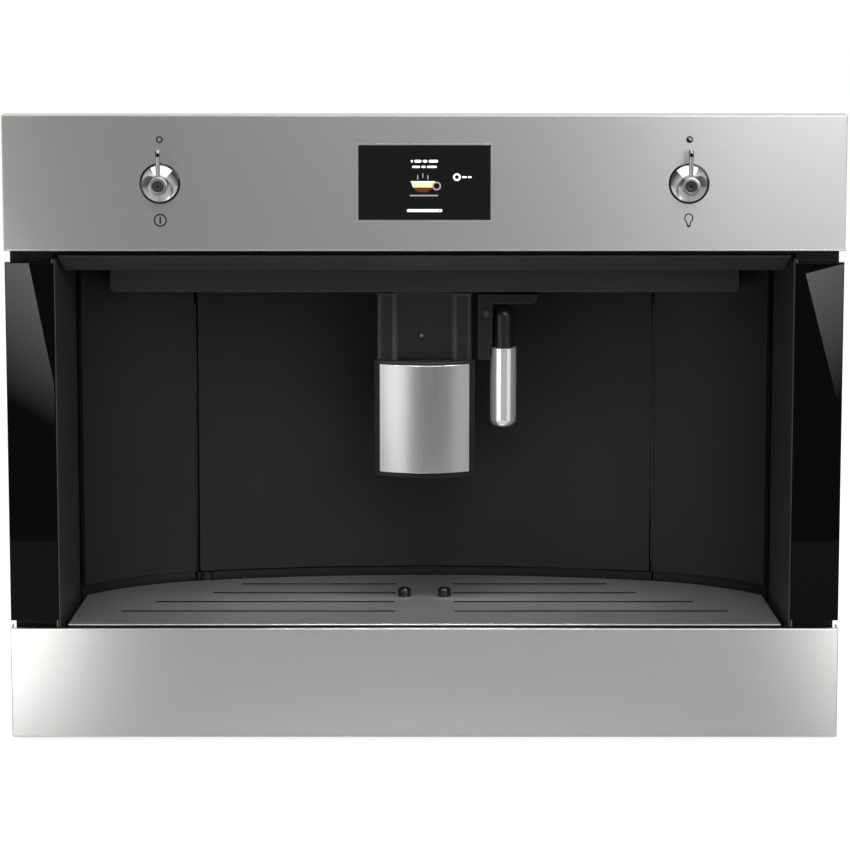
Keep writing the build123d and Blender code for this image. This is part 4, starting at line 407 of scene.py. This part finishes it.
def coated_sheet(name, colour, roughness):
    """Zinc-coated steel sheet with its leaf-like spangle."""
    material, tree, shader = new_finish(name, Metallic=0.85)
    cells = add_node(tree, "ShaderNodeTexVoronoi", {"Scale": SPANGLE, "Randomness": 1.0})
    tree.links.new(surface_coords(tree, (1.0, 1.0, 0.7)), cells.inputs["Vector"])
    shade = add_node(tree, "ShaderNodeRGBToBW")
    tree.links.new(cells.outputs["Color"], shade.inputs["Color"])
    scratches = noise(tree, surface_coords(tree, (30.0, 30.0, 900.0)), 1.0, 3.0)
    wire(tree, shader,
         Base_Color=blend_colours(tree, shade.outputs["Val"], tone(colour, 0.88), tone(colour, 1.08)),
         Roughness=remap(tree, shade.outputs["Val"], 0.0, 1.0, roughness - 0.08, roughness + 0.1),
         Normal=relief(tree, scratches, 0.1, 0.00003, rounded_normal(tree, 0.0005)))
    return material


def cast_metal(name, colour, roughness):
    """Cast or drawn metal with a pebbled skin."""
    material, tree, shader = new_finish(name, Metallic=0.9)
    pebbles = noise(tree, surface_coords(tree), 900.0, 4.0, 0.6)
    stains = noise(tree, surface_coords(tree), 35.0, 4.0)
    wire(tree, shader,
         Base_Color=blend_colours(tree, stains, tone(colour, 0.82), tone(colour, 1.1)),
         Roughness=varied(tree, stains, roughness - 0.08, roughness + 0.1),
         Normal=relief(tree, pebbles, 0.4, 0.0001, rounded_normal(tree, 0.0006)))
    return material


def clear_plastic(name, colour, transmission, roughness):
    """Smoked clear moulding with faint flow lines."""
    material, tree, shader = new_finish(name, IOR=1.46, Transmission_Weight=transmission)
    flow = noise(tree, surface_coords(tree, (1.0, 1.0, 0.2)), 60.0, 3.0)
    wire(tree, shader,
         Base_Color=blend_colours(tree, flow, tone(colour, 0.93), tone(colour, 1.06)),
         Roughness=varied(tree, flow, roughness, roughness + 0.08),
         Normal=relief(tree, flow, 0.06, 0.0002, rounded_normal(tree, 0.0004)))
    return material


def printed_ink(name, colour, glow=0.0):
    """Screen-printed ink, or a lit picture element where it glows."""
    material, tree, shader = new_finish(name, Specular_IOR_Level=0.2, Emission_Color=tone(colour, 1.0),
                                        Emission_Strength=glow)
    speckle = noise(tree, surface_coords(tree), 5200.0, 2.0)
    wire(tree, shader,
         Base_Color=blend_colours(tree, speckle, tone(colour, 0.92), tone(colour, 1.05)),
         Roughness=varied(tree, speckle, 0.45, 0.6))
    return material


def circuit_boards(name):
    """Green boards with a fine pattern of copper tracks."""
    material, tree, shader = new_finish(name, Specular_IOR_Level=0.4)
    tracks = add_node(tree, "ShaderNodeTexBrick", {"Scale": 60.0, "Mortar Size": 0.03,
                                                   "Color1": (0.012, 0.11, 0.045, 1.0),
                                                   "Color2": (0.015, 0.13, 0.05, 1.0),
                                                   "Mortar": (0.05, 0.26, 0.10, 1.0)})
    turned = add_node(tree, "ShaderNodeMapping", {"Rotation": (0.0, math.pi / 2, 0.0)})
    tree.links.new(surface_coords(tree), turned.inputs["Vector"])
    tree.links.new(turned.outputs["Vector"], tracks.inputs["Vector"])
    grain = noise(tree, surface_coords(tree), 700.0, 3.0)
    wire(tree, shader,
         Base_Color=tracks.outputs["Color"],
         Roughness=varied(tree, grain, 0.35, 0.5),
         Normal=relief(tree, grain, 0.2, 0.00005, rounded_normal(tree, 0.0003)))
    return material


panel_steel = brushed_metal("panel_steel_brushed_across", (0.52, 0.52, 0.51), 0.30, BRUSHED_ACROSS,
                            streak=0.04, edge=0.0009, edge_highlight_gain=1.4)
spout_steel = brushed_metal("spout_steel_brushed_upright", (0.56, 0.56, 0.56), 0.25, BRUSHED_UPRIGHT,
                            streak=0.03, lay=0.0, edge=0.0006)
# painted highlight: lighter steel for the strips on the screen window's edge and the upper panel's hem
edge_highlight_steel = brushed_metal("panel_edge_painted_highlight", (0.74, 0.74, 0.73), 0.24, BRUSHED_ACROSS, streak=0.03)
burr_steel = brushed_metal("burr_ground_steel", (0.40, 0.40, 0.42), 0.28, GROUND_ALONG)
tray_steel = satin_tray_steel("tray_steel_satin", (0.46, 0.46, 0.46), 0.34)

chrome = polished_metal("selector_chrome", (0.86, 0.86, 0.87), 0.05)
lever_steel = polished_metal("selector_lever_satin", (0.46, 0.46, 0.46), 0.22)
wand_chrome = polished_metal("wand_tube_chrome", (0.80, 0.80, 0.81), 0.06, metallic=0.78)
screw_zinc = polished_metal("screw_zinc", (0.58, 0.58, 0.60), 0.22)

black_glass = glossy_black("strip_glass_black", (0.0010, 0.0010, 0.0012), 0.004, specular=0.10, haze=0.006)
screen_glass = glossy_black("screen_glass_charcoal", (0.0082, 0.0082, 0.0084), 0.08, specular=0.14)
gloss_plastic = glossy_black("gloss_black_plastic", (0.0050, 0.0050, 0.0050), 0.10, specular=0.40)

niche_plastic = moulded_plastic("niche_plastic_dark_grey", (0.0150, 0.0150, 0.0152), 0.42,
                                specular=0.10, grain=0.12, painted_edge_highlight=2.6)
wall_plastic = moulded_plastic("niche_wall_plastic_dark_grey", (0.0310, 0.0310, 0.0314), 0.40,
                               specular=0.16, grain=0.12, painted_edge_highlight=2.2)
ceiling_plastic = moulded_plastic("ceiling_plastic_dark_grey", (0.0300, 0.0300, 0.0302), 0.42,
                                  specular=0.14, grain=0.12, painted_edge_highlight=2.6, edge=0.0010)
frame_plastic = moulded_plastic("frame_plastic_black", (0.0110, 0.0110, 0.0114), 0.40,
                                specular=0.16, grain=0.25, painted_edge_highlight=2.0)
spout_plastic = moulded_plastic("spout_plastic_black", (0.0070, 0.0070, 0.0072), 0.26,
                                specular=0.30, grain=0.12, painted_edge_highlight=7.0, edge=0.0009)
# the strong edge factors of the spout guide and slider paint the highlights on their rounded rails
guide_plastic = moulded_plastic("spout_guide_black", (0.0050, 0.0050, 0.0052), 0.28,
                                specular=0.45, grain=0.10, painted_edge_highlight=18.0, edge=0.0040)
slider_plastic = moulded_plastic("spout_slider_black", (0.0050, 0.0050, 0.0051), 0.30,
                                 specular=0.25, grain=0.10, painted_edge_highlight=12.0, edge=0.0008)
cap_plastic = moulded_plastic("selector_cap_charcoal", (0.030, 0.030, 0.031), 0.34,
                              specular=0.25, grain=0.10, painted_edge_highlight=1.5)
blackened_steel = moulded_plastic("hinge_pin_blackened", (0.004, 0.004, 0.004), 0.35,
                                  specular=0.30, grain=0.20, painted_edge_highlight=1.5)
tank_lid_plastic = moulded_plastic("tank_plastic_black", (0.016, 0.016, 0.017), 0.38,
                                   specular=0.35, grain=0.3, painted_edge_highlight=1.8)
white_moulding = moulded_plastic("inner_moulding_white", (0.62, 0.62, 0.60), 0.42,
                                 specular=0.45, grain=0.3, painted_edge_highlight=1.1)
magnet_grey = moulded_plastic("catch_moulding_grey", (0.30, 0.30, 0.30), 0.45,
                              specular=0.4, grain=0.3, painted_edge_highlight=1.2)
lamp_frost = moulded_plastic("lamp_cover_frosted", (0.72, 0.72, 0.70), 0.55,
                             specular=0.35, grain=0.3, painted_edge_highlight=1.05)
hose_silicone = moulded_plastic("hose_silicone_milky", (0.62, 0.61, 0.58), 0.36,
                                specular=0.45, grain=0.15, painted_edge_highlight=1.1)
trim_grey = moulded_plastic("niche_edge_trim_grey", (0.085, 0.085, 0.085), 0.35,
                            specular=0.4, grain=0.1, painted_edge_highlight=1.3)

zinc_sheet = coated_sheet("case_sheet_galvanised", (0.50, 0.51, 0.52), 0.42)
slide_zinc = coated_sheet("slide_zinc_bright", (0.58, 0.59, 0.61), 0.30)
heater_casting = cast_metal("heater_cast_aluminium", (0.60, 0.60, 0.61), 0.50)
motor_can = cast_metal("motor_can_steel", (0.34, 0.34, 0.36), 0.36)
tank_clear = clear_plastic("tank_smoked_clear", (0.50, 0.56, 0.60), 0.85, 0.12)
hopper_clear = clear_plastic("hopper_smoked_clear", (0.42, 0.36, 0.30), 0.75, 0.12)
board_green = circuit_boards("circuit_board_green")

symbol_ink = printed_ink("symbol_ink_dark", (0.018, 0.018, 0.019))
screen_white = printed_ink("screen_white", (0.88, 0.88, 0.88), glow=0.75)
screen_cream = printed_ink("screen_cream", (0.86, 0.66, 0.36), glow=0.55)
screen_brown = printed_ink("screen_brown", (0.10, 0.022, 0.008), glow=0.45)
screen_grey = printed_ink("screen_grey", (0.30, 0.30, 0.30), glow=0.35)

NODE_FINISHES = {
    panel_steel: ("top_panel", "bottom_panel"),
    spout_steel: ("spout_face",),
    tray_steel: ("cup_grid",),
    wand_chrome: ("wand_tube",),
    black_glass: ("glass_panels",),
    screen_glass: ("display_glass",),
    gloss_plastic: ("grid_studs", "rocker_switch"),
    niche_plastic: ("back_panels", "service_door"),
    wall_plastic: ("niche_walls",),
    ceiling_plastic: ("visor", "niche_header"),
    blackened_steel: ("door_pins",),
    frame_plastic: ("front_frame", "niche_floor", "drawer_carrier", "drip_tray", "grinder_housing",
                    "hopper_lid", "grind_dial", "grounds_bin", "mains_inlet", "left_knob_plunger",
                    "right_knob_plunger"),
    spout_plastic: ("wand_bracket", "wand_sleeve"),
    guide_plastic: ("spout_guide",),
    slider_plastic: ("spout_slider",),
    tank_lid_plastic: ("tank_lid",),
    white_moulding: ("knob_encoders", "tank_shelf", "brew_frame", "brew_piston"),
    magnet_grey: ("door_magnet",),
    lamp_frost: ("niche_lamps",),
    hose_silicone: ("hoses",),
    zinc_sheet: ("shelf_plate", "base_pan", "left_side_panel", "right_side_panel", "rear_panel",
                 "top_cover", "inner_chassis"),
    slide_zinc: ("slides_outer", "slides_middle", "slides_inner"),
    screw_zinc: ("case_screws",),
    heater_casting: ("thermoblock",),
    burr_steel: ("grinder_burr",),
    motor_can: ("grinder_motor", "pump"),
    tank_clear: ("water_tank",),
    hopper_clear: ("bean_hopper",),
    board_green: ("control_board", "power_board"),
    chrome: ("knob_rosettes",),
    lever_steel: ("left_knob", "right_knob"),
}
for finish, names in NODE_FINISHES.items():
    for name in names:
        mesh = nodes[name].data
        mesh.materials.clear()
        mesh.materials.append(finish)


# ================================================================ shape helpers
def lathe(outline, steps=64):
    """Closed solid of (radius, distance) points turned about the y axis."""
    bm = bmesh.new()
    points = [bm.verts.new((radius, distance, 0.0)) for radius, distance in outline]
    edges = [bm.edges.new(pair) for pair in zip(points, points[1:])]
    if outline[0][0] > 0 and outline[-1][0] > 0:
        edges.append(bm.edges.new((points[-1], points[0])))
    bmesh.ops.spin(bm, geom=points + edges, cent=(0, 0, 0), axis=(0, 1, 0), angle=math.tau,
                   steps=steps, use_merge=True)
    bmesh.ops.remove_doubles(bm, verts=bm.verts, dist=1e-6)
    bmesh.ops.recalc_face_normals(bm, faces=bm.faces)
    return bm


def plate(width, height, thickness, corner=0.0, segments=3):
    """Flat plate in the xz plane, its back on y = 0, with rounded corners where a radius is given."""
    bm = bmesh.new()
    bmesh.ops.create_cube(bm, size=1.0)
    bmesh.ops.scale(bm, vec=(width, thickness, height), verts=bm.verts)
    bmesh.ops.translate(bm, vec=(0, -thickness / 2, 0), verts=bm.verts)
    if corner:
        upright = [e for e in bm.edges if abs(e.verts[0].co.y - e.verts[1].co.y) > thickness / 2]
        bmesh.ops.bevel(bm, geom=upright, offset=corner, affect="EDGES", segments=segments, profile=0.5,
                        material=-1)
    return bm


def disc(radius, thickness, steps=40):
    return lathe([(0.0, 0.0), (radius, 0.0), (radius, -thickness), (0.0, -thickness)], steps)


def ring(outer, inner, thickness):
    return lathe([(inner, 0.0), (outer, 0.0), (outer, -thickness), (inner, -thickness)], steps=40)


def cut_away(bm, place, direction):
    """Removes what lies past a plane, and closes the cut."""
    cut = bmesh.ops.bisect_plane(bm, geom=bm.verts[:] + bm.edges[:] + bm.faces[:], plane_co=place,
                                 plane_no=direction, clear_outer=True)
    bmesh.ops.edgeloop_fill(bm, edges=[e for e in cut["geom_cut"] if isinstance(e, bmesh.types.BMEdge)])
    return bm


def move(bm, place):
    bmesh.ops.translate(bm, vec=place, verts=bm.verts)
    return bm


def turn(bm, angle, axis):
    bmesh.ops.rotate(bm, cent=(0, 0, 0), matrix=Matrix.Rotation(angle, 3, axis), verts=bm.verts)
    return bm


def joined(*parts):
    """One bmesh of several, which are freed."""
    whole = bmesh.new()
    for part in parts:
        scrap = bpy.data.meshes.new("scrap")
        part.to_mesh(scrap)
        part.free()
        whole.from_mesh(scrap)
        bpy.data.meshes.remove(scrap)
    return whole


def finish_piece(name, bm, material, body, replaces=None, sharp=40):
    """Object of the shape, smooth up to an angle in degrees, riding on its body."""
    mesh = bpy.data.meshes.new(name)
    bm.to_mesh(mesh)
    bm.free()
    mesh.polygons.foreach_set("use_smooth", [True] * len(mesh.polygons))
    mesh.set_sharp_from_angle(angle=math.radians(sharp))
    mesh.materials.append(material)
    piece = bpy.data.objects.new(name, mesh)
    scene.collection.objects.link(piece)
    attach(piece, body)
    if replaces:
        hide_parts(replaces)


def middle_of(node):
    low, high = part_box(node)
    return (low.x + high.x) / 2, (low.z + high.z) / 2


# ================================================================ selectors
front_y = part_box("top_panel")[0].y
knob_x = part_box("knob_rosettes")[1].x - ROSETTE_RADIUS
knob_z = middle_of("knob_rosettes")[1]
hub_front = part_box("right_knob")[0].y


def rosette():
    """Shallow polished cone round a short neck."""
    neck = ROSETTE_NECK_RADIUS
    base = ROSETTE_RADIUS - ROSETTE_LIP
    return lathe([(ROSETTE_BORE, 0.0), (base, 0.0), (base, -ROSETTE_LIP_DEPTH),
                  (base - ROSETTE_EDGE, -ROSETTE_LIP_DEPTH - ROSETTE_EDGE),
                  (neck + ROSETTE_NECK_FLARE, -ROSETTE_NECK_START),
                  (neck, -ROSETTE_NECK_START - ROSETTE_NECK_RUN),
                  (neck, -ROSETTE_HEIGHT), (ROSETTE_BORE, -ROSETTE_HEIGHT)], steps=96)


def rosette_shade_ring():
    """Dark ring round the cone's foot: painted shadow where the cone meets the panel."""
    inner = ROSETTE_RADIUS - ROSETTE_LIP + SHADE_RING_GAP
    return lathe([(inner, 0.0), (ROSETTE_RADIUS, 0.0), (ROSETTE_RADIUS, -SHADE_RING_EDGE_HEIGHT),
                  (inner, -ROSETTE_LIP_DEPTH)], steps=96)


def hub():
    """Turned hub with rounded edges and a recess for its cap."""
    deep = CAP_SINK + HUB_RECESS
    recess = [(0.0, deep), (CAP_RADIUS, deep), (CAP_RADIUS, HUB_RECESS_EDGE),
              (CAP_RADIUS + HUB_RECESS_EDGE, 0.0)]
    rounding = [(HUB_RADIUS - HUB_EDGE * inwards, HUB_EDGE * back) for inwards, back in HUB_ROUNDING]
    rear = [(HUB_RADIUS, HUB_LENGTH - HUB_BACK_EDGE), (HUB_RADIUS - HUB_BACK_EDGE, HUB_LENGTH),
            (HUB_BORE, HUB_LENGTH), (HUB_BORE, HUB_LENGTH - HUB_BORE_DEPTH),
            (0.0, HUB_LENGTH - HUB_BORE_DEPTH)]
    return lathe(recess + rounding + rear, steps=72)


def lever():
    """Slim round lever that swells to a domed tip."""
    dome = [(LEVER_TIP_RADIUS * math.cos(a), LEVER_REACH - LEVER_TIP_RADIUS * (1 - math.sin(a)))
            for a in map(math.radians, LEVER_DOME_ANGLES)]
    root = HUB_RADIUS - LEVER_ROOT_DEPTH
    outline = [(0.0, root), (LEVER_ROOT_RADIUS, root), (LEVER_NECK_RADIUS, LEVER_REACH - LEVER_TIP_LENGTH)]
    return turn(lathe(outline + dome + [(0.0, LEVER_REACH)], steps=28), math.pi / 2, "X")


def hub_cap():
    """Sunken cap with a dimple in its middle."""
    rim = CAP_RADIUS - CAP_EDGE
    return lathe([(0.0, CAP_BACK), (rim, CAP_BACK), (rim, CAP_SINK + CAP_EDGE), (rim - CAP_EDGE, CAP_SINK),
                  (DIMPLE_RADIUS, CAP_SINK), (DIMPLE_RADIUS * 0.6, CAP_SINK + DIMPLE_DEPTH * 0.3),
                  (0.0, CAP_SINK + DIMPLE_DEPTH * 0.4)])


def place_selectors():
    """Cone and its dark ring of painted shade fixed on the panel; hub, lever, cap, the cap's black disc of
    painted shade and the pointer turn with their selector.
    """
    seats = [(x, front_y, knob_z) for x in (-knob_x, knob_x)]
    finish_piece("selector_rosettes", joined(*(move(rosette(), seat) for seat in seats)), chrome,
                 "machine", replaces="knob_rosettes", sharp=30)
    finish_piece("selector_rosette_shade_rings", joined(*(move(rosette_shade_ring(), seat) for seat in seats)),
                 gloss_plastic, "machine")
    for side, x in (("left", -knob_x), ("right", knob_x)):
        body = f"{side}_selector"
        centre = (x, hub_front, knob_z)
        arm = move(lever(), (0, LEVER_SET_BACK, 0))
        finish_piece(f"{side}_selector_lever", move(joined(hub(), arm), centre), lever_steel, body,
                     replaces=f"{side}_knob", sharp=35)
        finish_piece(f"{side}_selector_cap", move(hub_cap(), centre), cap_plastic, body)
        # black disc over the cap's dimple: painted shade in the dimple
        dot = move(disc(DIMPLE_RADIUS, CAP_DOT_THICKNESS, steps=24),
                   (x, hub_front + CAP_SINK + CAP_DOT_THICKNESS / 2, knob_z))
        finish_piece(f"{side}_selector_cap_dimple_shade", dot, gloss_plastic, body)
        mark = move(disc(POINTER_RADIUS, POINTER_THICKNESS, steps=24),
                    (x, hub_front + LEVER_SET_BACK - LEVER_TIP_RADIUS + POINTER_SINK,
                     knob_z + LEVER_REACH - POINTER_BELOW_TIP))
        finish_piece(f"{side}_selector_pointer", mark, gloss_plastic, body)


# ================================================================ printed symbols
def lamp_symbol():
    """Outline of a small bulb."""
    line = bpy.data.curves.new("lamp_symbol_line", "CURVE")
    line.dimensions = "3D"
    spline = line.splines.new("NURBS")
    spline.points.add(len(LAMP_OUTLINE) - 1)
    for point, (across, up) in zip(spline.points, LAMP_OUTLINE):
        point.co = (across * LAMP_WIDTH / 2, 0.0, up * LAMP_HEIGHT / 2, 1.0)
    spline.use_cyclic_u = True
    spline.order_u = 3
    line.bevel_depth = SYMBOL_LINE / 2
    line.bevel_resolution = 2
    holder = bpy.data.objects.new("lamp_symbol_line", line)
    bm = bmesh.new()
    bm.from_mesh(bpy.data.meshes.new_from_object(holder))
    bpy.data.objects.remove(holder)
    bmesh.ops.scale(bm, vec=(1, PRINT_THICKNESS / SYMBOL_LINE, 1), verts=bm.verts)
    return bm


def place_symbols():
    """Round signs above the selectors, power and lamp signs below them."""
    on_steel = front_y + PRINT_SINK
    above = knob_z + SYMBOL_ABOVE
    below = knob_z - SYMBOL_BELOW
    hollow_ring = ring(SMALL_RING_RADIUS, SMALL_RING_RADIUS - SYMBOL_LINE, PRINT_THICKNESS)
    power = joined(ring(POWER_RING_RADIUS, POWER_RING_RADIUS - SYMBOL_LINE, PRINT_THICKNESS),
                   plate(POWER_BAR_WIDTH, POWER_BAR_HEIGHT, PRINT_THICKNESS, SYMBOL_LINE * 0.5))
    half = cut_away(disc(SMALL_RING_FILL, PRINT_THICKNESS), (0, 0, 0), (1, 0, 0))
    half_filled = joined(ring(SMALL_RING_RADIUS, SMALL_RING_RADIUS - SYMBOL_LINE, PRINT_THICKNESS),
                         turn(half, -math.pi / 4, "Y"))
    base = plate(LAMP_BASE_WIDTH, LAMP_BASE_HEIGHT, PRINT_THICKNESS, LAMP_BASE_CORNER)
    bulb = joined(lamp_symbol(), move(base, (0, 0, -LAMP_BASE_DROP)))
    symbols = joined(move(hollow_ring, (-knob_x, on_steel, above)), move(power, (-knob_x, on_steel, below)),
                     move(half_filled, (knob_x, on_steel, above)), move(bulb, (knob_x, on_steel, below)))
    finish_piece("selector_symbols", symbols, symbol_ink, "machine")


# ================================================================ screen picture
def printed_plate(size, corner, segments=3):
    return plate(*size, PRINT_THICKNESS, corner, segments)


def dashes(lengths, height, gap):
    """Row of short round-ended dashes, centred."""
    parts = []
    x = -(sum(lengths) + gap * (len(lengths) - 1)) / 2
    for length in lengths:
        parts.append(move(printed_plate((length, height), height * 0.45), (x + length / 2, 0, 0)))
        x += length + gap
    return joined(*parts)


def disc_slice(radius, low, high):
    """Slice of a disc between two heights from its middle."""
    lower_cut = cut_away(disc(radius, PRINT_THICKNESS, steps=56), (0, 0, low), (0, 0, -1))
    return cut_away(lower_cut, (0, 0, high), (0, 0, 1))


def place_screen_picture():
    """Plain cup sign, progress bar, ring and dashes on the dark screen."""
    x, z = middle_of("display_glass")
    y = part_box("display_glass")[0].y + PRINT_SINK
    bar_knob = move(disc(BAR_KNOB_RADIUS, PRINT_THICKNESS), (0, -PRINT_THICKNESS, 0))
    steam = [move(printed_plate(STEAM_SIZE, STEAM_CORNER), (dx, 0, dz)) for dx, dz in STEAM_PLACES]
    for name, bm, (dx, dz), material in (
            ("heading", dashes(HEADING_DASHES, HEADING_HEIGHT, DASH_GAP), HEADING_PLACE, screen_white),
            ("subheading", dashes(SUBHEADING_DASHES, SUBHEADING_HEIGHT, DASH_GAP), SUBHEADING_PLACE,
             screen_white),
            ("ring", ring(*SCREEN_RING, PRINT_THICKNESS), SCREEN_RING_PLACE, screen_white),
            ("ring_label", dashes(LABEL_DASHES, LABEL_HEIGHT, LABEL_GAP), LABEL_PLACE, screen_white),
            ("bar", printed_plate(BAR_SIZE, BAR_CORNER, segments=5), BAR_PLACE, screen_white),
            ("bar_knob", bar_knob, BAR_KNOB_PLACE, screen_glass),
            ("cup_cream", disc_slice(CUP_RADIUS, *CREAM_SPAN), CUP_PLACE, screen_cream),
            ("cup_coffee", disc_slice(CUP_RADIUS, *COFFEE_SPAN), CUP_PLACE, screen_brown),
            ("cup_rim", printed_plate(CUP_RIM_SIZE, CUP_RIM_CORNER), CUP_RIM_PLACE, screen_white),
            ("cup_handle", ring(*CUP_HANDLE, PRINT_THICKNESS), CUP_HANDLE_PLACE, screen_grey),
            ("saucer", printed_plate(SAUCER_SIZE, SAUCER_CORNER), SAUCER_PLACE, screen_grey),
            ("steam", joined(*steam), STEAM_PLACE, screen_grey)):
        finish_piece(f"screen_{name}", move(bm, (x + dx, y, z + dz)), material, "machine")


# ================================================================ trim, screw, key, and edges with painted highlight
def place_niche_trim():
    """Pale front edges of the niche's side walls."""
    low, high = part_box("niche_walls")
    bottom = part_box("bottom_panel")[1].z + TRIM_ABOVE_PANEL
    parts = [move(plate(TRIM_WIDTH, high.z - bottom, TRIM_PROUD), (x, low.y, (high.z + bottom) / 2))
             for x in (low.x + TRIM_WIDTH / 2, high.x - TRIM_WIDTH / 2)]
    finish_piece("niche_edge_trims", joined(*parts), trim_grey, "machine")


def place_spout_details():
    """Small screw in the guide's recess, and the release key on the wand's bracket."""
    seat = (SCREW_X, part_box("spout_guide")[0].y + GUIDE_RECESS, SCREW_Z)
    finish_piece("spout_guide_screw_collar", move(lathe(COLLAR_OUTLINE, steps=32), seat), blackened_steel,
                 "door", sharp=25)
    finish_piece("spout_guide_screw", move(lathe(HEAD_OUTLINE, steps=28), seat), trim_grey, "door",
                 sharp=25)
    key = move(plate(*KEY_SIZE, KEY_PROUD, KEY_CORNER), (KEY_X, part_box("wand_bracket")[0].y, KEY_Z))
    finish_piece("wand_bracket_key", key, cap_plastic, "door")


def place_panel_edges():
    """Lighter steel strips round the screen's window and along the upper panel's lower hem: painted highlight
    on these edges.
    """
    low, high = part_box("display_glass")
    x, z = middle_of("display_glass")
    width, height = high.x - low.x, high.z - low.z
    parts = [move(plate(width + 2 * WINDOW_EDGE, WINDOW_EDGE, EDGE_PROUD),
                  (x, front_y, z + side * (height + WINDOW_EDGE) / 2)) for side in (-1, 1)]
    parts += [move(plate(WINDOW_EDGE, height, EDGE_PROUD),
                   (x + side * (width + WINDOW_EDGE) / 2, front_y, z)) for side in (-1, 1)]
    low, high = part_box("top_panel")
    hem = plate(high.x - low.x - 2 * HEM_HEIGHT, HEM_HEIGHT, EDGE_PROUD)
    parts.append(move(hem, (0, front_y, low.z + HEM_HEIGHT / 2 + HEM_RAISE)))
    finish_piece("panel_edges_painted_highlight", joined(*parts), edge_highlight_steel, "machine")


place_selectors()
place_symbols()
place_screen_picture()
place_niche_trim()
place_spout_details()
place_panel_edges()


# ================================================================ studio
def white_to_camera(tree, path, depth):
    """1 for what the camera sees straight or through clear plastic, and for mirrors behind the machine."""
    behind = remap(tree, depth, -FADE_BEHIND, FADE_BEHIND, 0.0, 1.0)
    seen = maths(tree, "MAXIMUM", path.outputs["Is Camera Ray"], path.outputs["Is Transmission Ray"])
    return maths(tree, "MAXIMUM", seen, maths(tree, "MULTIPLY", path.outputs["Is Glossy Ray"], behind))


def floor():
    """Pale floor, white to the camera and in mirrors behind the machine, and taking its shadow."""
    bm = bmesh.new()
    bmesh.ops.create_grid(bm, x_segments=1, y_segments=1, size=FLOOR_HALF)
    mesh = bpy.data.meshes.new("floor")
    move(bm, FLOOR_MIDDLE).to_mesh(mesh)
    bm.free()
    sheet = bpy.data.objects.new("floor", mesh)
    scene.collection.objects.link(sheet)
    material = bpy.data.materials.new("floor_pale")
    material.use_nodes = True
    tree = material.node_tree
    tree.nodes.clear()
    plain = add_node(tree, "ShaderNodeBsdfDiffuse", {"Color": (FLOOR_GREY, FLOOR_GREY, FLOOR_GREY, 1.0)})
    lift = add_node(tree, "ShaderNodeEmission", {"Color": (1.0, 1.0, 1.0, 1.0)})
    path = add_node(tree, "ShaderNodeLightPath")
    seen = white_to_camera(tree, path, axes_of(tree, surface_coords(tree))["Y"])
    tree.links.new(maths(tree, "MULTIPLY", seen, FLOOR_WHITE), lift.inputs["Strength"])
    both = add_node(tree, "ShaderNodeAddShader")
    tree.links.new(plain.outputs["BSDF"], both.inputs[0])
    tree.links.new(lift.outputs["Emission"], both.inputs[1])
    output = add_node(tree, "ShaderNodeOutputMaterial")
    tree.links.new(both.outputs["Shader"], output.inputs["Surface"])
    mesh.materials.append(material)


def studio_world():
    """White behind the machine; in front a grey room that mirrors show darker towards its sides."""
    world = bpy.data.worlds.new("studio")
    scene.world = world
    world.use_nodes = True
    tree = world.node_tree
    tree.nodes.clear()
    path = add_node(tree, "ShaderNodeLightPath")
    depth = axes_of(tree, add_node(tree, "ShaderNodeTexCoord").outputs["Generated"])["Y"]
    mirrored = add_node(tree, "ShaderNodeBackground", {"Color": (1.0, 1.0, 1.0, 1.0)})
    tree.links.new(remap(tree, depth, *ROOM_TURN, ROOM_AHEAD, ROOM_SIDES), mirrored.inputs["Strength"])
    room = add_node(tree, "ShaderNodeBackground", {"Color": (ROOM_FILL, ROOM_FILL, ROOM_FILL, 1.0),
                                                   "Strength": 1.0})
    backdrop = add_node(tree, "ShaderNodeBackground", {"Color": (1.0, 1.0, 1.0, 1.0), "Strength": 1.0})
    shader = room.outputs["Background"]
    for factor, above in ((path.outputs["Is Glossy Ray"], mirrored),
                          (white_to_camera(tree, path, depth), backdrop)):
        mix = add_node(tree, "ShaderNodeMixShader")
        tree.links.new(factor, mix.inputs["Fac"])
        tree.links.new(shader, mix.inputs[1])
        tree.links.new(above.outputs["Background"], mix.inputs[2])
        shader = mix.outputs["Shader"]
    output = add_node(tree, "ShaderNodeOutputWorld")
    tree.links.new(shader, output.inputs["Surface"])


def softbox(name, place, target, size, brightness, roll, spread):
    """Soft lamp of a width and height, seen at a brightness where 1 is white."""
    lamp = bpy.data.lights.new(name, "AREA")
    lamp.shape = "RECTANGLE"
    lamp.size, lamp.size_y = size
    lamp.energy = brightness * math.pi * size[0] * size[1]
    lamp.spread = math.radians(spread)
    holder = bpy.data.objects.new(name, lamp)
    scene.collection.objects.link(holder)
    holder.location = place
    aim = (Vector(target) - Vector(place)).to_track_quat("-Z", "Y")
    holder.rotation_euler = (aim @ Quaternion((0, 0, 1), math.radians(roll))).to_euler()
    holder.visible_camera = False


def niche_glow():
    """Light of the two lamps behind the visor, as one soft strip under them."""
    low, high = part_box("niche_lamps")
    y = (low.y + high.y) / 2
    softbox("niche_lamp_glow", (0.0, y, low.z - GLOW_BELOW_LAMPS), (0.0, y + GLOW_TILT, 0.0), GLOW_SIZE,
            GLOW_BRIGHTNESS, 0.0, GLOW_SPREAD)


def camera():
    data = bpy.data.cameras.new("camera")
    data.lens = CAMERA_LENS
    data.sensor_width = CAMERA_SENSOR
    data.shift_x, data.shift_y = CAMERA_SHIFT
    holder = bpy.data.objects.new("camera", data)
    scene.collection.objects.link(holder)
    holder.location = (0.0, front_y - CAMERA_DISTANCE, CAMERA_HEIGHT)
    holder.rotation_euler = (math.pi / 2 - CAMERA_PITCH, 0.0, 0.0)
    scene.camera = holder


floor()
studio_world()
for row in SOFTBOXES:
    softbox(*row)
niche_glow()
camera()
scene.view_settings.view_transform = "Standard"
